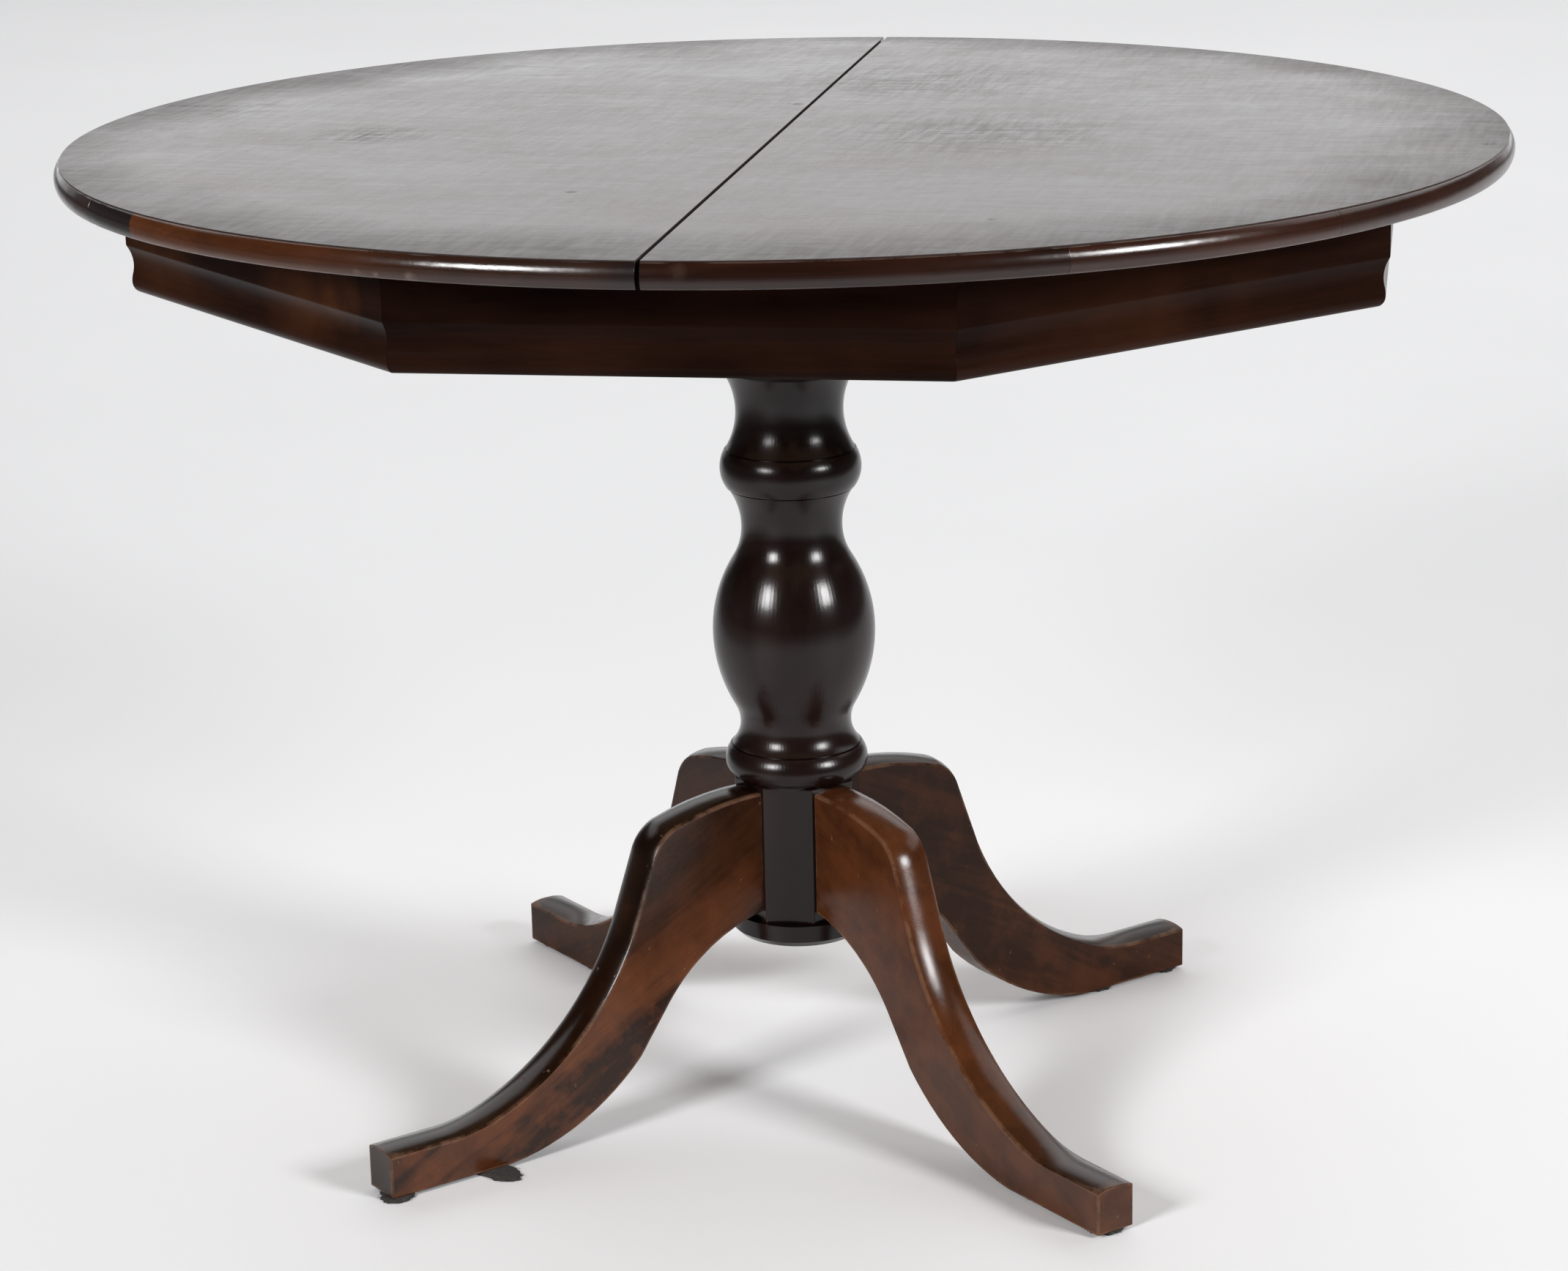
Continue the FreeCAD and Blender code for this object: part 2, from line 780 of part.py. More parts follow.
def catch_hook(end):
    """Hook of one catch, drawn closed along X and parked along the seam."""
    side = ENDS[end]
    label = f"{end}_catch_hook"
    half = dims.hook_width / 2
    floor = as_size(0)
    eye = rod(f"{label}_eye", dims.hook_width, dims.hook_thickness, (floor, floor, floor))
    nose = rod(f"{label}_nose", dims.hook_width, dims.hook_thickness, (dims.catch_reach, floor, floor))
    arm = box(f"{label}_arm", (floor, -half, floor), (dims.catch_reach, half, dims.hook_thickness))
    tab_x = dims.catch_reach * HOOK_TAB_SHARE
    tab = box(
        f"{label}_tab",
        (tab_x, -half, -dims.hook_tab_height),
        (tab_x + dims.hook_tab_thickness, half, floor),
    )
    blank = fuse(f"{label}_blank", [eye, nose, arm, tab])
    height = dims.hook_thickness + dims.overrun * 2
    below = -dims.overrun
    bore_diameter = dims.shoulder_diameter + dims.pivot_clearance * 2
    bore = rod(f"{label}_bore", bore_diameter, height, (floor, floor, below))
    slot_half = dims.shoulder_diameter / 2 + dims.stud_clearance
    slot_end = rod(f"{label}_slot_end", slot_half * 2, height, (dims.catch_reach, floor, below))
    mouth = half + dims.overrun
    slot_low, slot_high = (-mouth, floor) if side < 0 else (floor, mouth)
    slot = box(
        f"{label}_slot",
        (dims.catch_reach - slot_half, slot_low, below),
        (dims.catch_reach + slot_half, slot_high, below + height),
    )
    hook = keep(label, cut(label, blank, [bore, fuse(f"{label}_slot_shape", [slot_end, slot])]))
    level = under_top - dims.hook_lift - dims.hook_thickness
    place(hook, (-dims.catch_reach / 2, dims.catch_offset * side, level), around(-side * RIGHT_ANGLE))


# Apron

def apron_boards(housings):
    """Mitred boards of the eight-sided apron, with the moulding along their lower edge."""
    foot = (apron_face - dims.moulding_foot_depth, apron_bottom)
    bead = (apron_face - dims.moulding_bead_depth, apron_bottom + dims.moulding_bead_height)
    cove = (apron_face - dims.moulding_cove_depth, apron_bottom + dims.moulding_cove_height)
    flat = (apron_face, apron_bottom + dims.moulding_height)
    start = (apron_inner, apron_bottom)
    steps = [line_to(foot), upright_arc(foot, bead, True)]
    steps += ogee(bead, cove, MOULDING_TURN_SHARE)
    steps += ogee(cove, flat, MOULDING_TURN_SHARE)
    steps += [line_to((apron_face, apron_top)), line_to((apron_inner, apron_top)), line_to(start)]
    height = dims.apron_height + dims.overrun * 2
    for number, name in enumerate(APRON_SIDES):
        label = f"apron_{name}"
        body = padded(f"{label}_board", "XZ_Plane", start, steps, apron_side)
        slice_level = apron_bottom - dims.overrun
        slice_item = sector(f"{label}_slice", dims.top_diameter, height, FACE_ANGLE, -FACE_ANGLE / 2, slice_level)
        board = doc.addObject("Part::Common", f"{label}_mitred")
        board.Base = body
        board.Tool = slice_item
        board.Placement = Placement(Vector(0, 0, 0), around(number * FACE_ANGLE))
        if name in ENDS:
            board = cut(label, board, housings)
        keep(label, board)


def corner_blocks():
    """Glue blocks across the inner corners of the apron, below the slides."""
    corner = apron_inner / math.cos(math.radians(FACE_ANGLE / 2))
    half_angle = math.radians(FACE_ANGLE / 2)
    back = corner - dims.corner_block_side * math.sin(half_angle)
    wing = dims.corner_block_side * math.cos(half_angle)
    blocks = []
    for number in range(SIDES):
        name = f"corner_block_{number}"
        start = (corner, as_size(0))
        steps = [line_to((back, wing)), line_to((back, -wing)), line_to(start)]
        body = padded(name, "XY_Plane", start, steps, dims.corner_block_height)
        level = bearer_top - dims.corner_block_height / 2
        place(body, (0, 0, level), around((number + 1 / 2) * FACE_ANGLE))
        blocks.append(body)
    keep("apron_corner_blocks", group("apron_corner_blocks", blocks))


# Pedestal

def column_point(name):
    """Point on the column's outline."""
    turned_length = plate_bottom - block_top
    return (belly_radius * COLUMN_RADIUS_SHARES[name], block_top + turned_length * COLUMN_HEIGHT_SHARES[name])


def column(cutters):
    """Turned column: eight-sided leg block, beads, belly and necks, collar and top tenon."""
    point = {name: column_point(name) for name in COLUMN_HEIGHT_SHARES}
    block_radius = dims.leg_block_diameter / 2
    tenon_radius = dims.tenon_diameter / 2
    start = (as_size(0), disc_top)
    steps = [
        line_to((block_radius, disc_top)),
        line_to((block_radius, block_top)),
        line_to(point["bead_foot"]),
        upright_arc(point["bead_foot"], point["low_bead"], True),
        upright_arc(point["low_bead"], point["low_bead_top"], False),
        line_to(point["low_step"]),
        upright_arc(point["low_step"], point["low_neck"], True),
    ]
    steps += ogee(point["low_neck"], point["belly"], 1 - LOW_BELLY_TURN_SHARE)
    steps += ogee(point["belly"], point["waist"], HIGH_BELLY_TURN_SHARE)
    steps += [
        upright_arc(point["waist"], point["high_flare"], False),
        line_to(point["high_step"]),
        upright_arc(point["high_step"], point["high_bead"], True),
        upright_arc(point["high_bead"], point["high_bead_top"], False),
        line_to(point["high_lip"]),
        upright_arc(point["high_lip"], point["high_neck"], True),
        upright_arc(point["high_neck"], point["collar_foot"], False),
        line_to(point["collar"]),
        line_to((point["collar"][0], plate_bottom)),
        line_to((tenon_radius, plate_bottom)),
        line_to((tenon_radius, bearer_bottom)),
        line_to((as_size(0), bearer_bottom)),
        line_to(start),
    ]
    flats = []
    height = dims.leg_block_height + dims.overrun
    for number in range(SIDES):
        angle = number * FACE_ANGLE
        corner = spot(angle, dims.leg_seat, -block_radius, disc_top - dims.overrun)
        flats.append(block_at(f"block_flat_{number}", angle, block_radius, dims.leg_block_diameter, height, corner))
    keep("column", cut("column", turned("column_blank", start, steps), flats + cutters))


def base_disc():
    """Chamfered disc under the leg block, with its screws. Gives the cutters for the block."""
    radius = dims.disc_diameter / 2
    bottom = dims.disc_floor_gap
    start = (as_size(0), bottom)
    steps = [
        line_to((radius - dims.disc_chamfer, bottom)),
        line_to((radius, bottom + dims.disc_chamfer)),
        line_to((radius, disc_top)),
        line_to((as_size(0), disc_top)),
        line_to(start),
    ]
    spots = []
    for number in range(DISC_SCREWS):
        angle = number * FULL_TURN / DISC_SCREWS
        spots.append(spot(angle, dims.disc_screw_circle / 2, as_size(0), bottom))
    cutters = screws("base_disc_screws", spots, dims.disc_screw_length)
    keep("base_disc", cut("base_disc", turned("base_disc_blank", start, steps), cutters))
    return cutters


def leg_point(out_share, level_share):
    """Point on a leg's outline."""
    return (dims.leg_seat + leg_reach * out_share, leg_top * level_share)


def lowered(points, depth):
    """Points along a leg's upper side, moved square to it by a depth, with both ends kept in their faces."""
    moved = []
    for before, point, after in zip(points[:1] + points, points, points[1:] + points[-1:]):
        across = after[0] - before[0]
        climb = after[1] - before[1]
        chord = root(across * across + climb * climb)
        moved.append((point[0] + climb / chord * depth, point[1] - across / chord * depth))
    for end in (0, -1):
        moved[end] = (points[end][0], points[end][1] - depth)
    return moved


def leg_steps(depth):
    """Start and steps of a leg's outline, with its upper side lowered by a depth."""
    points = [leg_point(0, 1)] + [leg_point(out_share, level_share) for out_share, level_share, rise in LEG_TOP_SHARES]
    points = lowered(points, depth)
    steps = []
    for corner, following, (out_share, level_share, rise) in zip(points, points[1:], LEG_TOP_SHARES):
        steps.append(bowed_to(corner, following, rise))
    corner = (leg_point(LEG_HEEL_SHARE, 0)[0], dims.pad_thickness)
    steps += [line_to((dims.leg_spread, dims.pad_thickness)), line_to(corner)]
    for out_share, level_share, rise in LEG_ARCH_SHARES:
        following = leg_point(out_share, level_share)
        steps.append(bowed_to(corner, following, rise))
        corner = following
    steps.append(line_to(points[0]))
    return points[0], steps


def leg_blank(name):
    """Sawn leg with a crowned upper side."""
    body = doc.addObject("PartDesign::Body", name)
    sections = []
    for number, (side_share, depth_share) in enumerate(LEG_CROWN_SHARES):
        start, steps = leg_steps(dims.leg_crown * depth_share)
        sketch = outline(body, f"{name}_outline_{number}", "XZ_Plane", start, steps)
        sketch.setExpression("AttachmentOffset.Base.z", (dims.leg_width / 2 * side_share).text)
        sections.append(sketch)
    crowned = body.newObject("PartDesign::AdditiveLoft", f"{name}_crowned")
    crowned.Profile = sections[0]
    crowned.Sections = sections[1:]
    crowned.Ruled = True
    body.Tip = crowned
    return body


def legs():
    """Four legs with their dowels and felt pads. Gives the cutters for the leg block."""
    room = dims.glue_line * 2
    dowels = []
    holes = []
    start = dims.leg_seat - dims.leg_dowel_length / 2
    for name, angle in LEG_ANGLES.items():
        out = Vector(math.cos(math.radians(angle)), math.sin(math.radians(angle)), 0)
        for number, share in enumerate(LEG_DOWEL_SHARES):
            level = leg_top * share
            base = spot(angle, start, as_size(0), level)
            dowels.append(
                rod(f"{name}_dowel_{number}", dims.leg_dowel_diameter, dims.leg_dowel_length, base, out)
            )
            hole_base = spot(angle, start - dims.glue_line, as_size(0), level)
            hole_length = dims.leg_dowel_length + room
            holes.append(
                rod(f"{name}_dowel_hole_{number}", dims.leg_dowel_diameter + room, hole_length, hole_base, out)
            )
    keep("leg_dowels", group("leg_dowels", dowels))
    for name, angle in LEG_ANGLES.items():
        label = f"leg_{name}"
        body = leg_blank(f"{label}_blank")
        body.Placement = Placement(Vector(0, 0, 0), around(angle))
        keep(label, cut(label, body, holes))
        toe_out = dims.leg_spread - dims.toe_pad_inset
        heel_out = leg_point(HEEL_PAD_SHARE, 0)[0]
        for place_name, out in (("toe", toe_out), ("heel", heel_out)):
            pad_label = f"{place_name}_pad_{name}"
            base = spot(angle, out, as_size(0), as_size(0))
            keep(pad_label, rod(pad_label, dims.pad_diameter, dims.pad_thickness, base))
    return holes


def build():
    """Makes every sub-part."""
    slot = seam_slot()
    dowel_holes = seam_dowels()
    catch_labels = {"left": "catch_pivots", "right": "catch_studs"}
    for hand in HANDS:
        panel_cutters = runners(hand) + catch_screws(hand, catch_labels[hand])
        half_top(hand, slot, dowel_holes[hand] + panel_cutters)
        lipping(hand, slot)
    for end in ENDS:
        catch_hook(end)
    apron_boards(rails_and_bearers())
    corner_blocks()
    column(legs() + base_disc())
    doc.recompute()


def check():
    """Stops if any object of the document failed."""
    for item in doc.Objects:
        if "Invalid" in item.State or "Error" in item.State:
            raise RuntimeError(f"{item.Label} failed: {item.State}")
    for item in pieces:
        if item.Shape.isNull() or not item.Shape.isValid():
            raise RuntimeError(f"{item.Label} has no valid shape")
        if not item.Shape.Solids:
            raise RuntimeError(f"{item.Label} holds no solid")


def write():
    """Writes each sub-part to its own file."""
    os.makedirs("parts", exist_ok=True)
    for item in pieces:
        item.Shape.exportStep(f"parts/{item.Label}.step")
    print(len(pieces), "sub-parts written")


build()
check()
write()
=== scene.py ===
"""Looks of a round extending dining table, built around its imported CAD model.

The file is laid out as an add-on and run as a script. Sizes are in metres, in the frame of the CAD model.
"""

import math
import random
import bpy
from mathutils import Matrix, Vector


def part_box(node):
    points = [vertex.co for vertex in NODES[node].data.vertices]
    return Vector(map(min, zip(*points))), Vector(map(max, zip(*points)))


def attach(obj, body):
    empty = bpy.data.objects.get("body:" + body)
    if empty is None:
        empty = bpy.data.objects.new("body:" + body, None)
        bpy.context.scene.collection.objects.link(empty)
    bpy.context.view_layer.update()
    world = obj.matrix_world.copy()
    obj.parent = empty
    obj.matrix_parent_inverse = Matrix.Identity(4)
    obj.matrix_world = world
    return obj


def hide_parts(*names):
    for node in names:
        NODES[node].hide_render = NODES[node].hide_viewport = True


bl_info = {
    "name": "Round Dining Table",
    "version": (1, 0, 0),
    "blender": (4, 5, 0),
    "location": "3D View > Sidebar > Table",
    "description": "Builds the looks of a round extending dining table around its CAD model",
    "category": "Object",
}

import bmesh
import bpy
from mathutils import Matrix, Vector

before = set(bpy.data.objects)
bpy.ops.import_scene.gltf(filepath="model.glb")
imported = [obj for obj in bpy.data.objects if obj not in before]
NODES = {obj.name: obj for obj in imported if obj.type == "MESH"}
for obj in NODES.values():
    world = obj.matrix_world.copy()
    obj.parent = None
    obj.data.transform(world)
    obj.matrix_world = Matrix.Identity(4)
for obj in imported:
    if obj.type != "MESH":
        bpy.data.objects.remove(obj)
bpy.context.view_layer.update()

# Image and camera
IMAGE_WIDTH = 2141
FOCAL_PIXELS = 5203.66
SENSOR = 36
CAMERA_AZIMUTH = 9.867
CAMERA_DISTANCE = 2.7731
CAMERA_HEIGHT = 1.15734
CAMERA_YAW = 0.159
CAMERA_PITCH = 16.131
CAMERA_ROLL = -1.278
BEHIND = (-math.sin(math.radians(CAMERA_AZIMUTH)), math.cos(math.radians(CAMERA_AZIMUTH)), 0)

# Shared sizes, as in the part's source
MM = 0.001
SIDES = 8
FACE_ANGLE = math.tau / SIDES
TABLE_TOP = 0.74
UNDER_TOP = 0.722
VENEER_LEVEL = 0.7392
NOSE_RADIUS = 0.525
LIPPING_INNER = 0.503
HALF_SEAM = 0.0015
LEG_ANGLES = {"back_right": 45, "back_left": 135, "front_left": 225, "front_right": 315}
APRON_SIDES = ("right", "back_right", "back", "back_left", "left", "front_left", "front", "front_right")

# Leg outline: shares of the reach and of the top height, and each arc's rise as a share of its chord
LEG_SEAT = 0.045
LEG_REACH = 0.333
LEG_TOP = 0.246
LEG_SOLE = 0.0025
LEG_UPPER = (
    (0, 1, 0), (0.242, 0.952, 0.041), (0.306, 0.854, 0.113), (0.363, 0.646, 0),
    (0.740, 0.175, -0.107), (0.859, 0.1545, -0.040), (1.0, 0.1545, 0),
)
LEG_LOWER = ((0, 0.602, 0), (0.264, 0.386, 0.097), (0.345, 0.236, 0), (0.691, None, -0.088), (1.0, None, 0))
# Places along the upper side, with the places along the lower side that face them and the steps between
LEG_STATIONS = (
    (0, 0, 0), (1, 0.62, 5), (2, 0.85, 6), (3, 1.1, 5),
    (3.35, 2, 5), (4, 3, 12), (5, 3.5, 6), (6, 4, 3),
)

# Column: levels of the leg block, foot and length of the turned part, tenon
BLOCK_LEVELS = (0.139, 0.247)
COLUMN_FOOT = 0.247
COLUMN_LENGTH = 0.383
TENON_RADIUS = 0.022
TENON_TOP = 0.652
BELLY_RADIUS = 0.0615
ARC_STEPS = 8
# Shares of the belly's radius and of the turned length, then the way there from the point before, with the
# depth of a quirk, or the share where the arcs of an ogee meet and its steps
COLUMN_POINTS = {
    "bead_foot": (0.756, 0.003, "corner"),
    "low_bead": (0.885, 0.031, "upright_end"),
    "low_bead_top": (0.813, 0.064, "upright_start"),
    "low_step": (0.793, 0.067, "quirk", 2.5 * MM),
    "low_neck": (0.686, 0.111, "upright_end"),
    "belly": (1.0, 0.298, "ogee", 0.2, 24),
    "waist": (0.618, 0.510, "ogee", 0.7, 26),
    "high_flare": (0.764, 0.587, "upright_start"),
    "high_step": (0.789, 0.590, "quirk", 1.3 * MM),
    "high_bead": (0.865, 0.628, "upright_end"),
    "high_bead_top": (0.805, 0.664, "upright_start"),
    "high_lip": (0.785, 0.667, "quirk", 2.5 * MM),
    "high_neck": (0.657, 0.742, "upright_end"),
    "collar_foot": (0.805, 0.822, "upright_start"),
    "collar": (0.862, 0.826, "corner"),
}

# Apron section
APRON_FACE = 0.442
APRON_INNER = 0.422
APRON_TOP = 0.7215
APRON_BOTTOM = 0.6495

# Looks of each leg: tone, depth and lift of the dark streaks, darkness of the upper part, painted shade on
# the crown and on the crown towards the toe, darkness of the end, shine, seed
LEG_LOOKS = {
    "back_right": (0.42, 0.4, 0, 0.3, 0.3, 0.5, 0.3, 0.15, 2.6),
    "back_left": (0.34, 0.4, 0, 0.3, 0.3, 0.4, 0.3, 0.15, 7.1),
    "front_left": (0.80, 0.15, 0.012, 0.8, 0.92, 0.3, 0.85, 0.34, 0.4),
    "front_right": (0.66, 0.72, 0, 0.0, 0.1, 0.85, 0.0, 0.32, 5.3),
}
GRAIN_TILT = math.radians(-27)

# Felt: how far the pads have slipped, steps of the rim, loose fibres
SLIP = (0.002, -0.002)
SLIPPED = {"heel_pad_front_left": (0.020, -0.014), "toe_pad_front_left": (0.001, -0.011)}
PAD_STEPS = 48
FIBRES = 90

# Soft boxes: place, the point that they face, width, height, power
LIGHTS = {
    "key_left": ((-2.29, -3.52, 2.25), (0, 0, 0.5), 1.1, 1.2, 165),
    "key_right": ((3.74, -1.91, 2.25), (0, 0, 0.5), 1.1, 1.2, 165),
    "back_wash": ((0.4, 6.1, 4.6), (0.4, 6.1, 0), 14, 10.5, 640),
}

# Old marks on the top: place, radius, softness, strength
TOP_MARKS = (
    ((-0.298, -0.040), 0.004, 0.045, 0.8),
    ((-0.011, 0.125), 0.003, 0.005, 1.2),
    ((-0.500, 0.095), 0.010, 0.090, 0.9),
    ((0.141, -0.010), 0.010, 0.110, 0.5),
    ((0.063, 0.254), 0.010, 0.120, 0.35),
    ((-0.095, -0.278), 0.002, 0.004, 1.0),
    ((0.194, -0.371), 0.002, 0.004, 1.0),
    ((0.505, -0.053), 0.004, 0.006, 1.0),
)
# Marks on the edge strip and the apron, among them painted shade and painted light: place, radius, softness,
# strength, colour
PALE = (0.13, 0.085, 0.065, 1)
ORANGE = (0.060, 0.020, 0.007, 1)
# Near-black: painted shade on the tan strip near the front seam, and a sharp dark end to the tan strip at its
# joint
DARK_TONE_AND_SHADE = (0.012, 0.0075, 0.0065, 1)
MARKS_AND_PAINTED_LIGHT = {
    "left_lipping_front": (
        # Painted shade on the tan strip near the front seam
        ((0.0, -0.525, 0.73), 0.14, 0.11, 1.2, DARK_TONE_AND_SHADE),
        ((-0.4193, -0.3160, 0.73), 0.071, 0.003, 3.0, DARK_TONE_AND_SHADE),
        ((-0.184, -0.492, 0.7245), 0.002, 0.002, 0.9, PALE),
        ((-0.171, -0.496, 0.7240), 0.0015, 0.002, 0.9, PALE),
        ((-0.146, -0.504, 0.7235), 0.003, 0.003, 0.7, PALE),
    ),
    "right_lipping_front": (((0.024, -0.524, 0.734), 0.002, 0.006, 0.16, PALE),),
    "apron_front_left": (
        ((-0.222, -0.403, 0.695), 0.012, 0.018, 0.8, ORANGE),
        ((-0.262, -0.363, 0.690), 0.010, 0.050, 0.6, ORANGE),
        ((-0.400, -0.225, 0.700), 0.020, 0.060, 0.5, ORANGE),
    ),
    # Painted light: a lighter orange band on the lower moulding, where it faces up towards the lamps
    "apron_front_right": (((0.300, -0.325, 0.662), 0.02, 0.10, 0.5, ORANGE),),
}

# Edge segments: first and last angle from the front seam, hand, tone and warmth
LIPPING = {
    "left_lipping_front": (0, 53, -1, 1.0, 1.0),
    "left_lipping_middle": (53, 127, -1, 0.9, 1.0),
    "left_lipping_back": (127, 180, -1, 1.1, 1.0),
    "right_lipping_front": (0, 29, 1, 0.95, 1.1),
    "right_lipping_corner": (29, 52, 1, 1.5, 1.15),
    "right_lipping_middle": (52, 127, 1, 1.2, 1.05),
    "right_lipping_back": (127, 180, 1, 0.9, 1.0),
}


def length_property(name, description, value):
    """Length that a user would change."""
    return bpy.props.FloatProperty(
        name=name, description=description, default=value, unit="LENGTH", subtype="DISTANCE"
    )


def colour_property(name, description, value):
    """Colour that a user would change."""
    return bpy.props.FloatVectorProperty(
        name=name, description=description, default=(*value, 1), size=4, min=0, max=1, subtype="COLOR"
    )


class TableSizes(bpy.types.PropertyGroup):
    """Sizes that a user would change."""

    leg_width: length_property("Leg Width", "Thickness of each leg", 0.032)
    leg_crown: length_property("Leg Crown", "Rise of a leg's crowned upper side", 0.0035)
    arris: length_property("Arris", "Width of the worn arrises", 0.0011)
    felt_spread: length_property("Felt Spread", "How far the frayed felt reaches past its pad", 0.003)


class TableColours(bpy.types.PropertyGroup):
    """Colours that a user would change."""

    veneer: colour_property("Veneer", "Stain of the top", (0.042, 0.023, 0.018))
    lipping: colour_property("Lipping", "Dark edge segments", (0.0185, 0.0070, 0.0045))
    lipping_tan: colour_property("Tan Lipping", "Light edge segment", (0.062, 0.0195, 0.0066))
    apron: colour_property("Apron", "Apron boards", (0.0108, 0.0044, 0.0028))
    column: colour_property("Column", "Turned column", (0.0075, 0.0036, 0.0030))
    leg: colour_property("Legs", "Legs where the stain is light", (0.110, 0.034, 0.011))
    frame_wood: colour_property("Frame Wood", "Unfinished wood under the top", (0.50, 0.34, 0.20))
    felt: colour_property("Felt", "Felt pads", (0.040, 0.037, 0.035))
    brass: colour_property("Brass", "Catches", (0.62, 0.43, 0.17))
    floor: colour_property("Floor", "Studio floor", (0.80, 0.80, 0.81))


# Node trees

class Nodes:
    """Node tree, with short ways to add to it."""

    def __init__(self, tree):
        self.tree = tree

    def feed(self, socket, value):
        """Links an output to a socket, or sets the socket's own value."""
        if isinstance(value, bpy.types.NodeSocket):
            self.tree.links.new(value, socket)
        else:
            socket.default_value = value

    def add(self, kind, inputs, **settings):
        """Adds a node with its settings and inputs."""
        item = self.tree.nodes.new(f"ShaderNode{kind}")
        for name, value in settings.items():
            setattr(item, name, value)
        for name, value in inputs.items():
            self.feed(item.inputs[name], value)
        return item

    def source(self, name="Object"):
        """Texture coordinates."""
        return self.add("TexCoord", {}).outputs[name]

    def mapped(self, vector, kind="POINT", **changes):
        """A vector turned, stretched or shifted."""
        return self.add("Mapping", {"Vector": vector, **changes}, vector_type=kind).outputs[0]

    def axis(self, vector, name):
        """One axis of a vector."""
        return self.add("SeparateXYZ", {"Vector": vector}).outputs[name]

    def place(self, turn=(0, 0, 0), scale=(1, 1, 1), shift=(0, 0, 0)):
        """Object coordinates, turned and stretched."""
        return self.mapped(self.mapped(self.source(), Rotation=turn, Location=shift), Scale=scale)

    def noise(self, vector, scale, detail=4, roughness=0.55, distortion=0):
        """Noise value."""
        names = ("Vector", "Scale", "Detail", "Roughness", "Distortion")
        values = (vector, scale, detail, roughness, distortion)
        return self.add("TexNoise", dict(zip(names, values))).outputs[0]

    def spread(self, value, low, high, start=0, end=1):
        """Stretches a value from one range to another."""
        inputs = {"Value": value, "From Min": low, "From Max": high, "To Min": start, "To Max": end}
        return self.add("MapRange", inputs).outputs[0]

    def math(self, operation, first, second=0):
        """Arithmetic on two values."""
        return self.add("Math", {0: first, 1: second}, operation=operation).outputs[0]

    def times(self, first, second):
        """Product of two values."""
        return self.math("MULTIPLY", first, second)

    def mix(self, factor, first, second):
        """Mix of two colours."""
        return self.add("Mix", {0: factor, 6: first, 7: second}, data_type="RGBA").outputs[2]

    def near(self, spot, radius, softness):
        """One inside a small ball round a point, falling to nought past it."""
        gap = self.add("VectorMath", {0: self.source(), 1: spot}, operation="DISTANCE").outputs["Value"]
        return self.spread(gap, radius + softness, radius)

    def bump(self, height, depth, normal=None):
        """Small relief."""
        inputs = {"Height": height, "Strength": 1, "Distance": depth}
        if normal is not None:
            inputs["Normal"] = normal
        return self.add("Bump", inputs).outputs[0]


class Finish(Nodes):
    """Node tree of one material, whose colour starts from a shade of its base."""

    def __init__(self, name, base, *tone):
        self.material = bpy.data.materials.new(name)
        self.material.use_nodes = True
        super().__init__(self.material.node_tree)
        self.tree.nodes.clear()
        self.base = base
        self.colour = shade(base, *tone)

    def tint(self, share, colour):
        """Lays a colour over the colour so far."""
        self.colour = self.mix(share, self.colour, colour)

    def stain(self, share, *tone):
        """Lays a shade of the base over the colour so far."""
        self.tint(share, shade(self.base, *tone))

    def finish(self, **inputs):
        """Surface shader."""
        shader = self.add("BsdfPrincipled", {"Base Color": self.colour})
        for name, value in inputs.items():
            self.feed(shader.inputs[name.replace("_", " ")], value)
        self.add("OutputMaterial", {"Surface": shader.outputs[0]})
        return self.material


def shade(colour, factor, warm=1.0):
    """A colour made darker or lighter, and warmer where the last number is above one."""
    red, green, blue = colour[:3]
    return (min(red * factor * warm, 1), min(green * factor, 1), min(blue * factor / warm, 1), 1)


def grain(look, turn, stretch, seed):
    """Wood figure along one direction: broad streaks and fine pores, as two values."""
    broad = look.place(turn, (stretch * 0.35, 11, 11), (seed, seed * 0.7, seed * 0.3))
    fine = look.place(turn, (stretch, 95, 95), (seed * 0.3, seed, seed * 0.6))
    streaks = look.noise(broad, 2.2, 5, 0.6, 0.6)
    pores = look.noise(fine, 7, 6, 0.7, 0.2)
    return streaks, pores


def wear(look):
    """Wear value kept on the mesh, drawn in to the arris and broken up by noise."""
    kept = look.add("Attribute", {}, attribute_name="wear").outputs["Fac"]
    broken = look.noise(look.place(), 30, 5, 0.65)
    return look.times(look.spread(kept, 0.5, 0.95), look.spread(broken, 0.42, 0.6))


